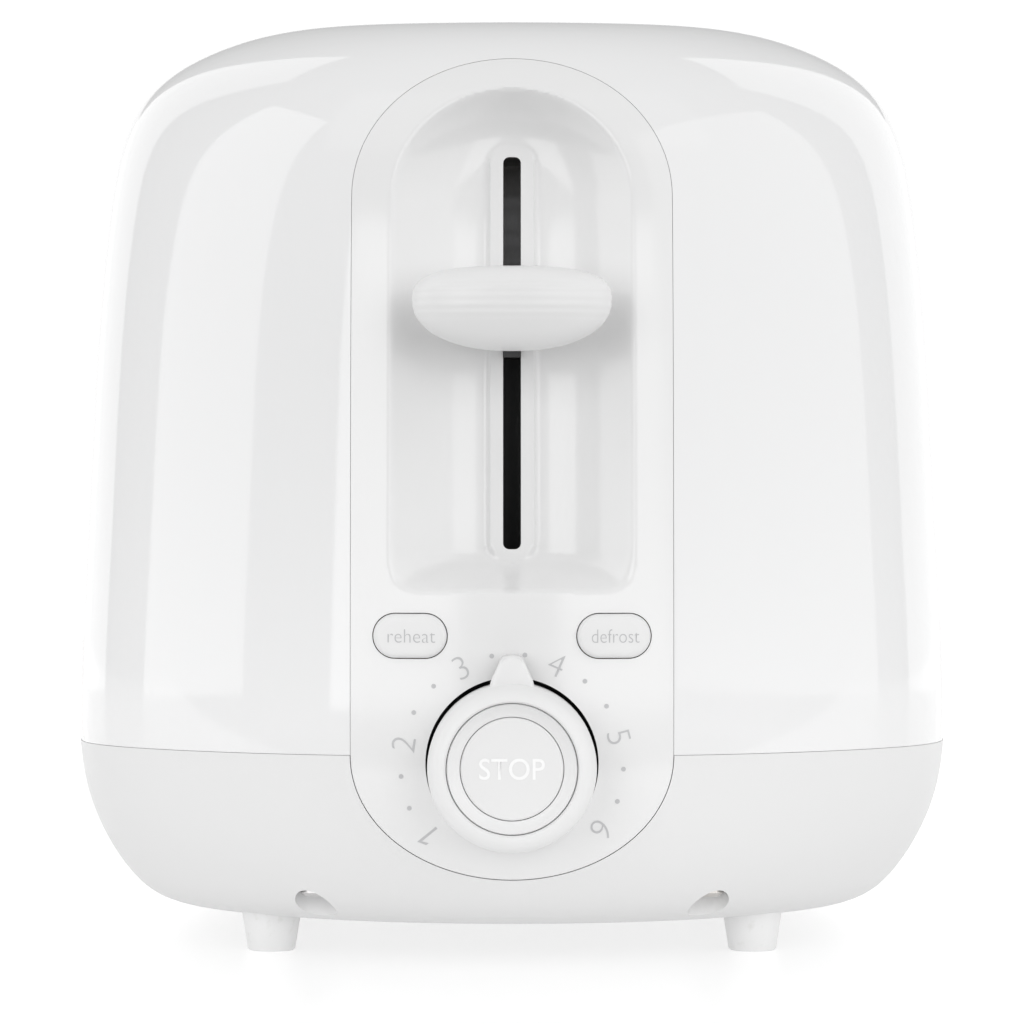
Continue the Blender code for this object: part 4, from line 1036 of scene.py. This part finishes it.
for step in (make_shell, make_base, make_panel, make_dial, make_stop, make_knob, make_scale, make_words):
    step()
for button_name, button_side in (("reheat", -1), ("defrost", 1)):
    make_button(button_name, button_side)
for foot_side_name, foot_side in SIDES:
    for foot_end, foot_y in (("front", -FOOT_Y), ("rear", FOOT_Y)):
        make_foot(foot_end, foot_side_name, foot_side * FOOT_X, foot_y)
    make_guard("outer", foot_side_name, foot_side * GUARD_OUTER_X)
    make_guard("inner", foot_side_name, foot_side * GUARD_INNER_X)
    make_rack(foot_side_name, foot_side * BREAD_X)
make_tray_door()
make_gland()
make_bracket()
bpy.data.objects.remove(FINE_FORM, do_unlink=True)
finish_frame_nodes()


# ---- Studio --------------------------------------------------------------------------------------
def softbox(name, turn, reach, width, low, high, glow, tilt_to=None):
    """A soft light at a bearing around the toaster, in degrees from the camera's side. Glow is its radiance."""
    lamp = bpy.data.lights.new(name, "AREA")
    lamp.shape = "RECTANGLE"
    lamp.size, lamp.size_y = width, high - low
    lamp.energy = glow * math.pi * width * (high - low)
    item = bpy.data.objects.new(name, lamp)
    bpy.context.scene.collection.objects.link(item)
    angle = math.radians(turn)
    item.location = (reach * math.sin(angle), -reach * math.cos(angle), (low + high) / 2)
    target = Vector((0, 0, item.location.z if tilt_to is None else tilt_to))
    item.rotation_euler = (target - item.location).to_track_quat("-Z", "Y").to_euler()
    return item


def glowing_plane(name, size, place, turn, colour, glow, roughness=0.9, specular=0.0):
    bpy.ops.mesh.primitive_plane_add(size=1, location=place, rotation=turn)
    plane = fresh(name)
    plane.scale = (*size, 1)
    finish = Finish(name)
    finish.set(colour=(colour, colour, colour), roughness=roughness, specular=specular, ior=1.6)
    finish.shader.inputs["Emission Color"].default_value = (1, 1, 1, 1)
    finish.shader.inputs["Emission Strength"].default_value = glow
    plane.data.materials.append(finish.material)
    return plane


def studio():
    world = bpy.data.worlds.new("studio")
    bpy.context.scene.world = world
    world.use_nodes = True
    world.node_tree.nodes["Background"].inputs["Color"].default_value = (1, 1, 1, 1)
    world.node_tree.nodes["Background"].inputs["Strength"].default_value = WORLD_LIGHT
    glowing_plane("floor", (6, 4.28), (0, 1.88, 0), (0, 0, 0), 0.42, 0.50, 0.30, 0.6)
    glowing_plane("ground", (9, 9), (0, 0, -0.7), (0, 0, 0), 0.35, 0.0)
    glowing_plane("backdrop", (4.2, 1.30), (0, 4.0, 0.65), (math.pi / 2, 0, 0), 0.2, 1.0)
    softbox("left_wing", -138, 1.6, 0.90, 0.0, 2.6, 0.92)
    softbox("right_wing", 133, 1.6, 1.15, 0.0, 2.6, 0.92)
    softbox("left_softbox", -79, 1.5, 0.86, 0.0, 2.0, 1.50)
    softbox("right_softbox", 65, 1.5, 1.70, 0.0, 2.0, 0.98)
    softbox("front_left_softbox", -25, 1.6, 0.80, -0.05, 0.95, 2.30)
    softbox("front_right_softbox", 22, 1.6, 0.70, -0.05, 0.95, 2.15)
    softbox("key_left", -34, 0.85, 0.9, 1.0, 1.8, 0.40, tilt_to=0.1)
    softbox("key_right", 40, 0.85, 0.8, 1.0, 1.8, 0.28, tilt_to=0.1)


def camera():
    lens = bpy.data.cameras.new("camera")
    lens.lens = LENS
    lens.sensor_width = 36
    item = bpy.data.objects.new("camera", lens)
    bpy.context.scene.collection.objects.link(item)
    item.location = (0, FRONT + BODY_Y - CAMERA_DISTANCE, CAMERA_HEIGHT)
    item.rotation_euler = (math.pi / 2, 0, 0)
    bpy.context.scene.camera = item


studio()
camera()
bpy.context.scene.view_settings.view_transform = "Standard"
